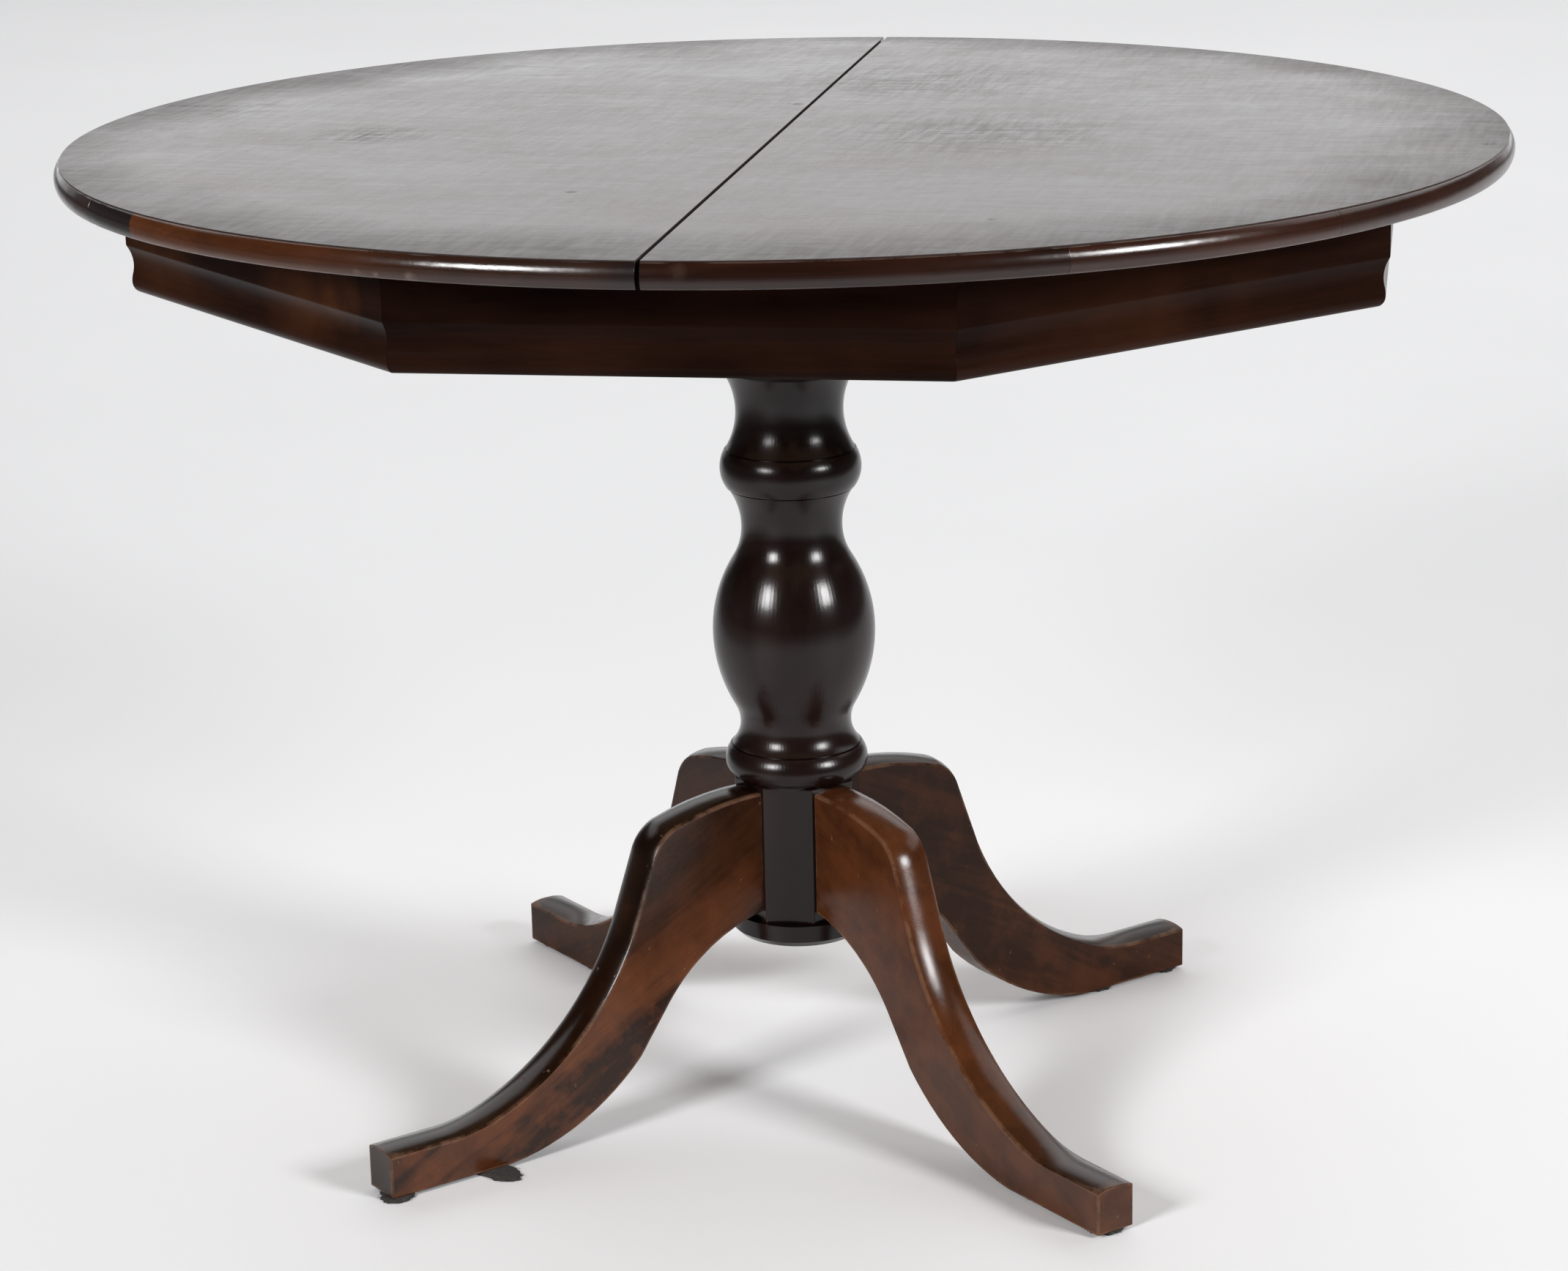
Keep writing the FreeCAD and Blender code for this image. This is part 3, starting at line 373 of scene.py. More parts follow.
def veneer_finish(base):
    """Satin veneer of the top with cloudy wear, short fine streaks, scratches and old marks."""
    look = Finish("top_veneer_satin", base, 0.6)
    streaks = look.noise(look.place((0, 0, 0.03), (14, 75, 1)), 1.6, 6, 0.62, 0.4)
    pores = look.noise(look.place((0, 0, 0.03), (40, 420, 1)), 2, 5, 0.65)
    smears = look.noise(look.place((0, 0, 0.1), (120, 12, 1)), 1.5, 5, 0.6, 0.3)
    clouds = look.noise(look.place(scale=(1, 1.6, 1)), 4.6, 6, 0.66, 0.5)
    patchy = look.spread(clouds, 0.46, 0.72)
    look.stain(look.spread(streaks, 0.3, 0.7), 1.4, 1.05)
    look.stain(look.spread(pores, 0.45, 0.75, 0, 0.6), 0.4)
    look.stain(look.times(patchy, 0.5), 1.9, 0.97)
    specks = look.add("TexVoronoi", {"Vector": look.place(), "Scale": 22}).outputs["Distance"]
    speck = look.times(look.spread(specks, 0.05, 0.03), look.spread(clouds, 0.6, 0.66))
    scratch = look.spread(look.noise(look.place((0, 0, 0.12), (3, 130, 1)), 5, 3, 0.5), 0.725, 0.755)
    marks = look.math("MAXIMUM", speck, look.times(scratch, 0.5))
    broken = look.spread(look.math("ADD", smears, streaks), 0.85, 1.2, 0.1, 1)
    for spot, radius, softness, strength in TOP_MARKS:
        patch = look.times(look.near((*spot, TABLE_TOP), radius, softness), strength)
        marks = look.math("MAXIMUM", marks, look.times(patch, broken))
    reach = look.add("VectorMath", {0: look.place(scale=(1, 1, 0))}, operation="LENGTH").outputs["Value"]
    drift = look.noise(look.place(), 5.5, 2, 0.45)
    reach = look.math("ADD", reach, look.spread(drift, 0.3, 0.7, -0.045, 0.045))
    rim = look.spread(reach, 0.43, 0.535, 0, 0.75)
    marks = look.math("MAXIMUM", marks, look.times(rim, look.spread(broken, 0.1, 1, 0.75, 1)))
    look.stain(look.times(marks, 0.85), 0.2)
    roughness = look.spread(clouds, 0.3, 0.75, 0.19, 0.29)
    for value, low, high in ((streaks, -0.018, 0.025), (smears, -0.015, 0.022), (pores, -0.02, 0.02)):
        roughness = look.math("ADD", roughness, look.spread(value, 0.35, 0.68, low, high))
    roughness = look.math("ADD", roughness, look.times(marks, 0.25))
    relief = look.math("SUBTRACT", look.times(pores, 0.3), look.times(speck, 0.5))
    normal = look.bump(relief, 0.00008)
    normal = look.bump(look.noise(look.place(scale=(1, 2, 1)), 16, 3, 0.5), 0.00005, normal)
    return look.finish(Roughness=roughness, Normal=normal)


def lacquered_finish(
    name, base, turn, seed, gloss, shine, light=1.35, dark=0.45, reach=3.0, dent=0.5, marks=()
):
    """Stained and lacquered wood with its grain along a direction, worn arrises, dents and coloured marks,
    among them painted shade and painted light.
    """
    look = Finish(name, base, dark)
    streaks, pores = grain(look, turn, reach, seed)
    patches = look.noise(look.place(shift=(seed, 0, 0)), 7, 3, 0.5, 0.5)
    look.stain(look.spread(streaks, 0.32, 0.68), light, 1.06)
    look.stain(look.spread(pores, 0.5, 0.8, 0, 0.55), dark * 0.6)
    look.stain(look.spread(patches, 0.5, 0.75, 0, 0.45), light * 1.5, 1.15)
    worn = wear(look)
    look.tint(look.times(worn, 0.4), PALE)
    # Each mark is laid on as a colour; some are painted shade and painted light rather than stains.
    for spot, radius, softness, strength, stain in marks:
        broken = look.noise(look.place(), 0.5 / (radius + softness), 4, 0.6)
        broken = look.spread(broken, 0.34, 0.58, 0, strength)
        look.tint(look.times(look.near(spot, radius, softness), broken), stain)
    roughness = look.spread(patches, 0.3, 0.7, gloss - 0.03, gloss + 0.05)
    roughness = look.math("ADD", roughness, look.times(worn, 0.2))
    dents = look.noise(look.place(), 60, 2, 0.4)
    relief = look.math("ADD", look.times(pores, 0.35), look.times(dents, dent))
    relief = look.math("SUBTRACT", relief, worn)
    normal = look.bump(relief, 0.00016)
    return look.finish(Roughness=roughness, Specular_IOR_Level=shine, Normal=normal)


def leg_finish(name, base, angle, seed, streak, lift, dark_upper, crown_shade, toe_shade, dark_end, shine):
    """Leg wood: grain that crosses the leg, dark streaks, painted shade on the crowned upper side that
    deepens towards the toe, scuffs and pale worn arrises.
    """
    look = Finish(name, base, streak)
    turn = (0, 0, -math.radians(angle))
    along = look.mapped(look.source(), Rotation=turn)
    tilted = look.mapped(along, Rotation=(0, GRAIN_TILT, 0), Location=(seed, seed * 0.4, -lift))
    streaks = look.noise(look.mapped(tilted, Scale=(2.6, 6, 26)), 1.5, 5, 0.6, 0.35)
    pores = look.noise(look.mapped(tilted, Scale=(5, 80, 130)), 6, 6, 0.7, 0.2)
    blotch = look.noise(look.place(shift=(seed, seed, 0)), 34, 5, 0.6)
    look.stain(look.spread(streaks, 0.41, 0.57), 1.0)
    look.stain(look.spread(blotch, 0.47, 0.7, 0, 0.6), 1.45, 1.08)
    look.stain(look.spread(blotch, 0.48, 0.28, 0, 0.75), 0.5)
    look.stain(look.spread(pores, 0.5, 0.8, 0, 0.5), 0.3)
    upper = look.math("ADD", look.axis(along, "Z"), look.spread(streaks, 0.3, 0.7, 0.03, -0.03))
    look.stain(look.spread(upper, 0.1, 0.19, 0, dark_upper), 0.2, 0.9)
    facing = look.mapped(look.source("Normal"), "VECTOR", Rotation=turn)
    sideways = look.math("ABSOLUTE", look.axis(facing, "Y"))
    endwise = look.axis(facing, "X")
    end = look.spread(endwise, 0.9, 0.98)
    crown = look.times(look.spread(sideways, 0.85, 0.6), look.spread(endwise, 0.98, 0.9))
    look.stain(look.times(end, dark_end), 0.15, 0.8)
    # Painted shade: the crowned upper side, found by the way it faces, is darkened, and more so towards the
    # toe.
    look.stain(look.times(crown, crown_shade), 0.08, 0.8)
    toe = look.times(look.spread(look.axis(along, "X"), 0.22, 0.34, 0, toe_shade), crown)
    look.stain(toe, 0.15, 0.9)
    nicks = look.spread(look.noise(look.place(shift=(0, seed, 0)), 130, 2, 0.4), 0.74, 0.78)
    worn = look.math("MAXIMUM", wear(look), look.times(nicks, 0.7))
    look.tint(look.times(worn, 0.4), (0.20, 0.10, 0.055, 1))
    roughness = look.spread(blotch, 0.3, 0.7, 0.15, 0.23)
    roughness = look.math("ADD", roughness, look.times(worn, 0.15))
    dents = look.noise(look.place(), 45, 3, 0.5)
    relief = look.math("ADD", look.times(pores, 0.4), look.times(dents, 0.6))
    relief = look.math("SUBTRACT", relief, nicks)
    normal = look.bump(relief, 0.00018)
    return look.finish(Roughness=roughness, Specular_IOR_Level=shine, Normal=normal)


def raw_wood_finish(name, base, turn, seed, seam_shade=0, only_above=False):
    """Unfinished wood with its grain along a direction, and painted shade near the seam of the top, where its
    gap falls dark.
    """
    look = Finish(name, base, 0.72, 1.04)
    streaks, pores = grain(look, turn, 2.6, seed)
    look.stain(look.spread(streaks, 0.3, 0.7), 1.12)
    look.stain(look.spread(pores, 0.5, 0.8, 0, 0.5), 0.5, 1.08)
    grime = look.noise(look.place(), 9, 4, 0.6)
    look.stain(look.spread(grime, 0.5, 0.8, 0, 0.35), 0.45, 1.1)
    # Painted shade: near-black laid on the wood at the seam's gap
    if seam_shade:
        across = look.math("ABSOLUTE", look.axis(look.place(), "X"))
        seam = look.spread(across, seam_shade, seam_shade * 0.6)
        if only_above:
            upward = look.axis(look.source("Normal"), "Z")
            seam = look.times(seam, look.spread(upward, 0.3, 0.6))
        look.tint(seam, (0.012, 0.007, 0.005, 1))
    roughness = look.spread(pores, 0.3, 0.7, 0.62, 0.8)
    normal = look.bump(pores, 0.0003)
    return look.finish(Roughness=roughness, Normal=normal)


def metal_finish(name, base, roughness):
    """Worn metal with fine scratches and a dull film in places."""
    look = Finish(name, base, 1.0)
    film = look.noise(look.place(), 160, 5, 0.6)
    brushed = look.noise(look.place(scale=(40, 900, 900)), 3, 3, 0.5)
    look.stain(look.spread(film, 0.4, 0.7), 0.55, 1.03)
    rough = look.spread(film, 0.35, 0.7, roughness - 0.06, roughness + 0.16)
    normal = look.bump(brushed, 0.00004)
    return look.finish(Metallic=1, Roughness=rough, Normal=normal)


def felt_finish(base):
    """Matted felt with lint."""
    look = Finish("felt_matted", base, 0.6)
    fibres = look.noise(look.place(scale=(1, 1, 2)), 900, 4, 0.7, 1.2)
    lint = look.noise(look.place(), 330, 4, 0.7)
    look.stain(look.spread(fibres, 0.35, 0.7), 2.1)
    look.stain(look.spread(lint, 0.62, 0.76, 0, 0.7), 5)
    normal = look.bump(fibres, 0.0006)
    return look.finish(Roughness=0.95, Specular_IOR_Level=0.15, Normal=normal)


def floor_finish(base):
    """Pale studio floor with faint scuffs, darker far off in what the table reflects."""
    look = Finish("studio_floor", base, 0.985)
    tone = look.noise(look.place(), 1.3, 3, 0.5)
    scuffs = look.noise(look.place(scale=(1, 2.5, 1)), 11, 6, 0.72, 0.6)
    look.stain(look.spread(tone, 0.3, 0.7), 1.01)
    look.stain(look.spread(scuffs, 0.72, 0.82, 0, 0.3), 0.7)
    spot = look.place(shift=(-0.2, 0, 0))
    depth = look.axis(spot, "Y")
    aside = look.math("ABSOLUTE", look.axis(spot, "X"))
    aside = look.math("SUBTRACT", aside, look.times(depth, 0.45))
    unseen = look.math("SUBTRACT", 1, look.add("LightPath", {}).outputs["Is Camera Ray"])
    for share, tone in ((look.spread(depth, -1.1, -2.2), 0.15), (look.spread(aside, 1.25, 2.2), 0.25)):
        look.stain(look.times(share, unseen), tone)
    return look.finish(Roughness=0.6, Specular_IOR_Level=0.25)


# Outlines

def upright_points(start, end, upright_end, count):
    """Points after the start on an arc that is upright at one of its ends."""
    across, rise = end[0] - start[0], end[1] - start[1]
    radius = (across * across + rise * rise) / (2 * across)
    centre = (end[0] - radius, end[1]) if upright_end else (start[0] + radius, start[1])
    first = math.atan2(start[1] - centre[1], start[0] - centre[0])
    sweep = math.atan2(end[1] - centre[1], end[0] - centre[0]) - first
    sweep = (sweep + math.pi) % math.tau - math.pi
    reach = abs(radius)
    angles = [first + sweep * step / count for step in range(1, count + 1)]
    return [(centre[0] + reach * math.cos(turn), centre[1] + reach * math.sin(turn)) for turn in angles]


def ogee_points(start, end, turn_share, count):
    """Points after the start on two arcs that are upright at both ends."""
    middle = tuple(low + (high - low) * turn_share for low, high in zip(start, end))
    near = max(2, round(count * turn_share))
    far = max(2, count - near)
    return upright_points(start, middle, False, near) + upright_points(middle, end, True, far)


def bowed_point(start, end, rise_share, share):
    """Point at a share along an arc that rises to its left by a share of its chord."""
    start, end = Vector(start), Vector(end)
    if not rise_share:
        return start.lerp(end, share)
    chord = end - start
    side = Vector((-chord.y, chord.x)).normalized() * math.copysign(1, rise_share)
    bow = abs(rise_share)
    radius = chord.length * (0.25 + bow * bow) / (2 * bow)
    half = 2 * math.atan(2 * bow)
    turn = half * (2 * share - 1)
    rise = side * radius * (math.cos(turn) - math.cos(half))
    return (start + end) / 2 + chord.normalized() * radius * math.sin(turn) + rise


def eased(points, width):
    """Outline with each corner cut short by a small arc."""
    softened = []
    count = len(points)
    for index in range(count):
        before, corner, after = (Vector(points[(index + step) % count]) for step in (-1, 0, 1))
        back, ahead = before - corner, after - corner
        bend = back.angle(ahead) if back.length and ahead.length else math.pi
        if bend > math.radians(150):
            softened.append(tuple(corner))
            continue
        reach = min(width, back.length / 2.2, ahead.length / 2.2)
        first, last = corner + back.normalized() * reach, corner + ahead.normalized() * reach
        middle = (first + last) / 2 * 0.5 + corner * 0.5
        softened += [tuple(first), tuple(middle), tuple(last)]
    return softened


# Modelling steps

def rest():
    """Leaves edit mode with nothing selected."""
    if bpy.context.object and bpy.context.object.mode != "OBJECT":
        bpy.ops.object.mode_set(mode="OBJECT")
    bpy.ops.object.select_all(action="DESELECT")


def named(name):
    """Names the object that was just added."""
    item = bpy.context.object
    item.name = name
    item.data.name = name
    return item


def choose(*items):
    """Selects objects and no others, and makes the first one active."""
    rest()
    for item in items:
        item.select_set(True)
    bpy.context.view_layer.objects.active = items[0]


def edit(item):
    """Starts editing one object, in vertex mode."""
    choose(item)
    bpy.ops.object.mode_set(mode="EDIT")
    bpy.ops.mesh.select_mode(type="VERT")


def select_all():
    """Selects the whole mesh, in edit mode."""
    bpy.ops.mesh.select_all(action="SELECT")


def pick(item, kind, test):
    """Selects the vertices, edges or faces that pass a test, and no others."""
    bpy.ops.mesh.select_mode(type={"verts": "VERT", "edges": "EDGE", "faces": "FACE"}[kind])
    bpy.ops.mesh.select_all(action="DESELECT")
    mesh = bmesh.from_edit_mesh(item.data)
    for part in getattr(mesh, kind):
        if test(part):
            part.select_set(True)
    mesh.select_flush_mode()
    bmesh.update_edit_mesh(item.data)


def turned(name, points, turn, steps, angle):
    """Outline drawn corner by corner in an upright plane through the table's axis, and turned about it."""
    rest()
    east, north = math.cos(turn), math.sin(turn)
    spots = [Vector((radius * east, radius * north, level)) for radius, level in points]
    bpy.ops.mesh.primitive_plane_add(size=MM, location=spots[0])
    item = named(name)
    bpy.ops.object.transform_apply(location=True)
    edit(item)
    select_all()
    bpy.ops.mesh.merge(type="CENTER")
    for near, far in zip(spots, spots[1:]):
        bpy.ops.mesh.extrude_vertices_move(TRANSFORM_OT_translate={"value": far - near})
    select_all()
    bpy.ops.mesh.edge_face_add()
    bpy.ops.mesh.spin(steps=steps, angle=angle, center=(0, 0, 0), axis=(0, 0, 1))
    tidy_normals()
    return item


def tidy_normals():
    """Merges doubles and turns every face outwards, in edit mode."""
    select_all()
    bpy.ops.mesh.remove_doubles(threshold=0.000005)
    bpy.ops.mesh.normals_make_consistent(inside=False)


def smooth(item, degrees):
    """Smooth shading with crisp edges past an angle."""
    choose(item)
    bpy.ops.object.shade_smooth_by_angle(angle=math.radians(degrees))


def flatten(item, degrees):
    """Smooth shading that keeps broad faces flat, so that only eased edges look round."""
    smooth(item, degrees)
    weighting = item.modifiers.new("flat_faces", "WEIGHTED_NORMAL")
    weighting.keep_sharp = True
    bpy.ops.object.modifier_apply(modifier=weighting.name)


def mark_wear(item, measure):
    """Keeps a wear value on each vertex."""
    layer = item.data.attributes.new("wear", "FLOAT", "POINT")
    layer.data.foreach_set("value", [measure(vertex.co) for vertex in item.data.vertices])


def dress(item, material):
    """Gives an object one material."""
    item.data.materials.clear()
    item.data.materials.append(material)


def stand_for(item, node, body):
    """Puts a finished piece in the place of its CAD node."""
    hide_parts(node)
    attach(item, body)


def copy_turned(item, name, turn):
    """Copy of a finished piece with its own mesh, turned about the table's axis."""
    twin = item.copy()
    twin.data = item.data.copy()
    twin.name = twin.data.name = name
    bpy.context.scene.collection.objects.link(twin)
    choose(twin)
    twin.rotation_euler = (0, 0, turn)
    bpy.ops.object.transform_apply(rotation=True)
    return twin


class Step:
    """One step of the build, as an operator."""

    def execute(self, context):
        self.build(context.scene.table_sizes, context.scene.table_colours)
        return {"FINISHED"}


# Legs

def leg_corner(point):
    """Point of the leg's outline in metres."""
    share, level = point[:2]
    return (LEG_SEAT + LEG_REACH * share, LEG_SOLE if level is None else LEG_TOP * level)


def along(outline, place):
    """Point at a place along a leg's outline, counted in its steps."""
    step = min(int(place), len(outline) - 2)
    start, end = leg_corner(outline[step]), leg_corner(outline[step + 1])
    return bowed_point(start, end, outline[step + 1][2], place - step)


def leg_sections(crown):
    """Upper and lower points of the leg's sections, with the upper side lowered by the crown."""
    pairs = []
    for (upper, lower, _), (next_upper, next_lower, count) in zip(LEG_STATIONS, LEG_STATIONS[1:]):
        for step in range(count):
            share = step / count
            pairs.append((upper + (next_upper - upper) * share, lower + (next_lower - lower) * share))
    pairs.append(LEG_STATIONS[-1][:2])
    tops = [along(LEG_UPPER, upper) for upper, _ in pairs]
    lows = [along(LEG_LOWER, lower) for _, lower in pairs]
    sections = []
    last = len(tops) - 1
    for index, (top, low) in enumerate(zip(tops, lows)):
        ahead = (tops[min(index + 1, last)] - tops[max(index - 1, 0)]).normalized()
        inward = Vector((ahead.y, -ahead.x)) if 0 < index < last else Vector((0, -1))
        sections.append((top + inward * crown, low))
    return sections


def flat_spot(point):
    """Point of the leg's outline in space, before the leg is turned to its place."""
    return Vector((point[0], 0, point[1]))


def beside(spot, points):
    """Whether a spot on the leg's side is level with one of the points of its outline."""
    return any((Vector((spot.x, 0, spot.z)) - point).length < MM / 10 for point in points)


def set_wear(item, value):
    """Keeps a wear value on the selected vertices, in edit mode."""
    mesh = bmesh.from_edit_mesh(item.data)
    layer = mesh.verts.layers.float.get("wear") or mesh.verts.layers.float.new("wear")
    for vertex in mesh.verts:
        if vertex.select:
            vertex[layer] = value
    bmesh.update_edit_mesh(item.data)


def leg_blank(sizes):
    """Leg along +X: drawn out section by section, crowned above, with its arrises eased."""
    half = sizes.leg_width / 2
    sections = leg_sections(sizes.leg_crown)
    rest()
    bpy.ops.mesh.primitive_plane_add(size=1, rotation=(0, math.pi / 2, 0))
    item = named("leg_blank")
    bpy.ops.object.transform_apply(rotation=True)
    edit(item)
    select_all()
    top, low = sections[0]
    bpy.ops.transform.resize(value=(1, sizes.leg_width, top[1] - low[1]))
    bpy.ops.transform.translate(value=(LEG_SEAT, 0, (top[1] + low[1]) / 2))
    for (top, low), (next_top, next_low) in zip(sections, sections[1:]):
        step = flat_spot(next_low) - flat_spot(low)
        bpy.ops.mesh.extrude_region_move(TRANSFORM_OT_translate={"value": step})
        goal = flat_spot(top) + step
        pick(item, "verts", lambda vertex: beside(vertex.co, [goal]))
        bpy.ops.transform.translate(value=flat_spot(next_top) - goal)
        ends = [flat_spot(next_top), flat_spot(next_low)]
        pick(item, "verts", lambda vertex: beside(vertex.co, ends))
    tidy_normals()
    uppers = [flat_spot(top) for top, _ in sections]

    def on_top(edge):
        first, last = (vertex.co for vertex in edge.verts)
        middle = (first + last) / 2
        return abs(first.y - last.y) > half and any((middle - upper).length < MM / 10 for upper in uppers)

    pick(item, "edges", on_top)
    bpy.ops.mesh.subdivide_edgering(number_cuts=5, interpolation="LINEAR", smoothness=0)
    for share, lift in ((0, 1), (1 / 3, 8 / 9), (2 / 3, 5 / 9)):
        pick(item, "verts", lambda vertex: abs(abs(vertex.co.y) - half * share) < MM / 20)
        bpy.ops.transform.shrink_fatten(value=sizes.leg_crown * lift)
    for edge_x in (LEG_SEAT, LEG_SEAT + LEG_REACH):
        pick(item, "verts", lambda vertex: abs(vertex.co.x - edge_x) < sizes.leg_crown)
        bpy.ops.transform.resize(value=(0, 1, 1), center_override=(edge_x, 0, 0))
    tidy_normals()

    def sharp(edge):
        if len(edge.link_faces) != 2 or all(vertex.co.x < LEG_SEAT + MM for vertex in edge.verts):
            return False
        return edge.calc_face_angle(0) > math.radians(38)

    pick(item, "edges", sharp)
    bpy.ops.mesh.bevel(offset=sizes.arris, segments=2, profile=0.6, clamp_overlap=True)
    set_wear(item, 1)
    for side in (lambda face: abs(face.normal.y) > 0.99, lambda face: face.normal.x > 0.99):
        pick(item, "faces", side)
        bpy.ops.mesh.inset(thickness=2.2 * MM, use_even_offset=True)
        set_wear(item, 0)
    flatten(item, 32)
    return item


class TABLE_OT_legs(Step, bpy.types.Operator):
    """Models one leg and sets a copy at each corner of the block"""

    bl_idname = "table.legs"
    bl_label = "Legs"

    def build(self, sizes, colours):
        blank = leg_blank(sizes)
        for name, angle in LEG_ANGLES.items():
            leg = copy_turned(blank, f"{name}_leg", math.radians(angle))
            tone, *darks, seed = LEG_LOOKS[name]
            dress(leg, leg_finish(f"{name}_leg_wood", shade(colours.leg, tone), angle, seed, *darks))
            stand_for(leg, f"leg_{name}", "pedestal")
        rest()
        bpy.data.objects.remove(blank)


class TABLE_OT_felt_pads(Step, bpy.types.Operator):
    """Models a frayed felt pad under each end of each foot"""

    bl_idname = "table.felt_pads"
    bl_label = "Felt Pads"

    def build(self, sizes, colours):
        material = felt_finish(colours.felt)
        names = [f"{place}_pad_{leg}" for leg in LEG_ANGLES for place in ("toe", "heel")]
        for number, name in enumerate(names):
            low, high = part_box(name)
            pull = Vector((*SLIPPED.get(name, SLIP), 0))
            pad = felt_pad(f"felt_{name}", low, high, sizes.felt_spread, pull, number + 3)
            dress(pad, material)
            stand_for(pad, name, "pedestal")


def felt_pad(name, low, high, spread, pull, seed):
    """Flattened felt disc that is drawn out to one side, with a ragged edge and loose fibres."""
    middle = (low + high) / 2
    radius = (high.x - low.x) / 2
    thickness = high.z - low.z
    rest()
    spot = (middle.x, middle.y, 0)
    bpy.ops.mesh.primitive_circle_add(vertices=PAD_STEPS, radius=radius, fill_type="NGON", location=spot)
    item = named(name)
    bpy.ops.object.transform_apply(location=True)
    edit(item)
    select_all()
    for _ in range(3):
        bpy.ops.mesh.inset(thickness=spread)
    select_all()
    bpy.ops.mesh.extrude_region_move(TRANSFORM_OT_translate={"value": (0, 0, thickness * 0.96)})
    tidy_normals()

    def slip(out):
        return pull * (0.45 + 0.65 * max(out.dot(pull.normalized()), 0) ** 0.5)

    draw = random.Random(seed)
    mesh = bmesh.from_edit_mesh(item.data)
    for vertex in mesh.verts:
        out = Vector((vertex.co.x - middle.x, vertex.co.y - middle.y, 0))
        vertex.co += slip(out / radius)
        if out.length > radius - spread * 0.5:
            vertex.co += out.normalized() * spread * (draw.random() ** 2 * 1.5 - 0.3)
            if vertex.co.z > thickness / 2:
                vertex.co.z -= thickness * (0.15 + 0.4 * draw.random())
    bmesh.update_edit_mesh(item.data)
    choose(item)
    swell = item.modifiers.new("softening", "SUBSURF")
    swell.levels = swell.render_levels = 2
    bpy.ops.object.modifier_apply(modifier=swell.name)
    fibres = []
    for _ in range(FIBRES):
        turn = draw.uniform(0, math.tau)
        out = Vector((math.cos(turn), math.sin(turn), 0))
        spot = middle + out * (radius + spread * draw.uniform(-0.6, 0.4)) + slip(out)
        spot.z = draw.uniform(0.2, 2.2) * MM
        lean = math.pi / 2 - draw.uniform(-0.1, 0.35)
        bpy.ops.mesh.primitive_cone_add(
            vertices=3,
            radius1=0.2 * MM,
            radius2=0.04 * MM,
            depth=draw.uniform(2.5, 7) * MM,
            location=spot,
            rotation=(0, lean, turn + draw.uniform(-1.2, 1.2)),
        )
        fibres.append(bpy.context.object)
    choose(item, *fibres)
    bpy.ops.object.join()
    smooth(item, 60)
    edit(item)
    pick(item, "verts", lambda vertex: vertex.co.z < 0)
    bpy.ops.transform.resize(value=(1, 1, 0), center_override=(0, 0, 0))
    rest()
    return item


# Top

class TABLE_OT_top(Step, bpy.types.Operator):
    """Finishes the veneers and the core panels"""

    bl_idname = "table.top"
    bl_label = "Top"

    def build(self, sizes, colours):
        veneer = veneer_finish(colours.veneer)
        # The core boards get painted shade at the seam's gap
        core = raw_wood_finish("top_core_board", colours.frame_wood, (0, 0, 0), 5.1, seam_shade=0.004)
        for hand in ("left", "right"):
            dress(NODES[f"{hand}_veneer"], veneer)
            dress(NODES[f"{hand}_panel"], core)


def lipping_outline():
    """Section of the edge strip, from its inner foot round the nose."""
    foot = (NOSE_RADIUS - 3 * MM, UNDER_TOP)
    nose = (NOSE_RADIUS, VENEER_LEVEL - 9 * MM)
    arris = (NOSE_RADIUS - 4 * MM, VENEER_LEVEL)
    points = [(LIPPING_INNER, UNDER_TOP), foot]
    points += upright_points(foot, nose, True, 5)
    points += upright_points(nose, arris, False, 6)
    points.append((LIPPING_INNER, VENEER_LEVEL))
    return eased(points, 1.1 * MM)


class TABLE_OT_lipping(Step, bpy.types.Operator):
    """Turns each segment of the edge strip about the table's axis"""

    bl_idname = "table.lipping"
    bl_label = "Lipping"

    def build(self, sizes, colours):
        points = lipping_outline()
        seam_turn = math.asin(HALF_SEAM / NOSE_RADIUS)
        for number, (node, (first, last, hand, tone, warmth)) in enumerate(LIPPING.items()):
            start = math.radians(first) + (seam_turn if first == 0 else 0.0001)
            end = math.radians(last) - (seam_turn if last == 180 else 0.0001)
            turns = [hand * turn - math.pi / 2 for turn in (start, end)]
            steps = max(12, round(math.degrees(end - start) * 1.2))
            item = turned(node.replace("lipping", "edge"), points, turns[0], steps, -hand * (end - start))
            ease_ends(item, turns, 0.15 * MM)
            flatten(item, 30)
            mark_wear(item, lipping_wear)
            tan = node == "left_lipping_front"
            base = shade(colours.lipping_tan if tan else colours.lipping, tone, warmth)
            grain_turn = (0, 0, -hand * (start + end) / 2)
            looks = {"gloss": 0.18, "shine": 0.5, "dent": 1.4, "marks": MARKS_AND_PAINTED_LIGHT.get(node, ())}
            name = f"{item.name}_lacquer"
            dress(item, lacquered_finish(name, base, grain_turn, 2.1 * number + 0.7, **looks))
            stand_for(item, node, node.split("_")[0] + "_half")


def ease_ends(item, turns, width):
    """Eases the edges of a turned piece's end faces, which stand at the given angles."""

    def at_end(edge):
        ways = [math.atan2(vertex.co.y, vertex.co.x) for vertex in edge.verts]
        return any(all(abs(math.remainder(way - turn, math.tau)) < 1e-5 for way in ways) for turn in turns)

    pick(item, "edges", at_end)
    bpy.ops.mesh.bevel(offset=width, segments=1, clamp_overlap=True)
    tidy_normals()


def lipping_wear(spot):
    """Wear along the edge strip's two arrises."""
    out = math.hypot(spot.x, spot.y)
    top = out > NOSE_RADIUS - 5.2 * MM and spot.z > VENEER_LEVEL - 0.9 * MM
    foot = out > NOSE_RADIUS - 4.3 * MM and spot.z < UNDER_TOP + 1.2 * MM
    return 1.0 if top or foot else 0.0


# Apron

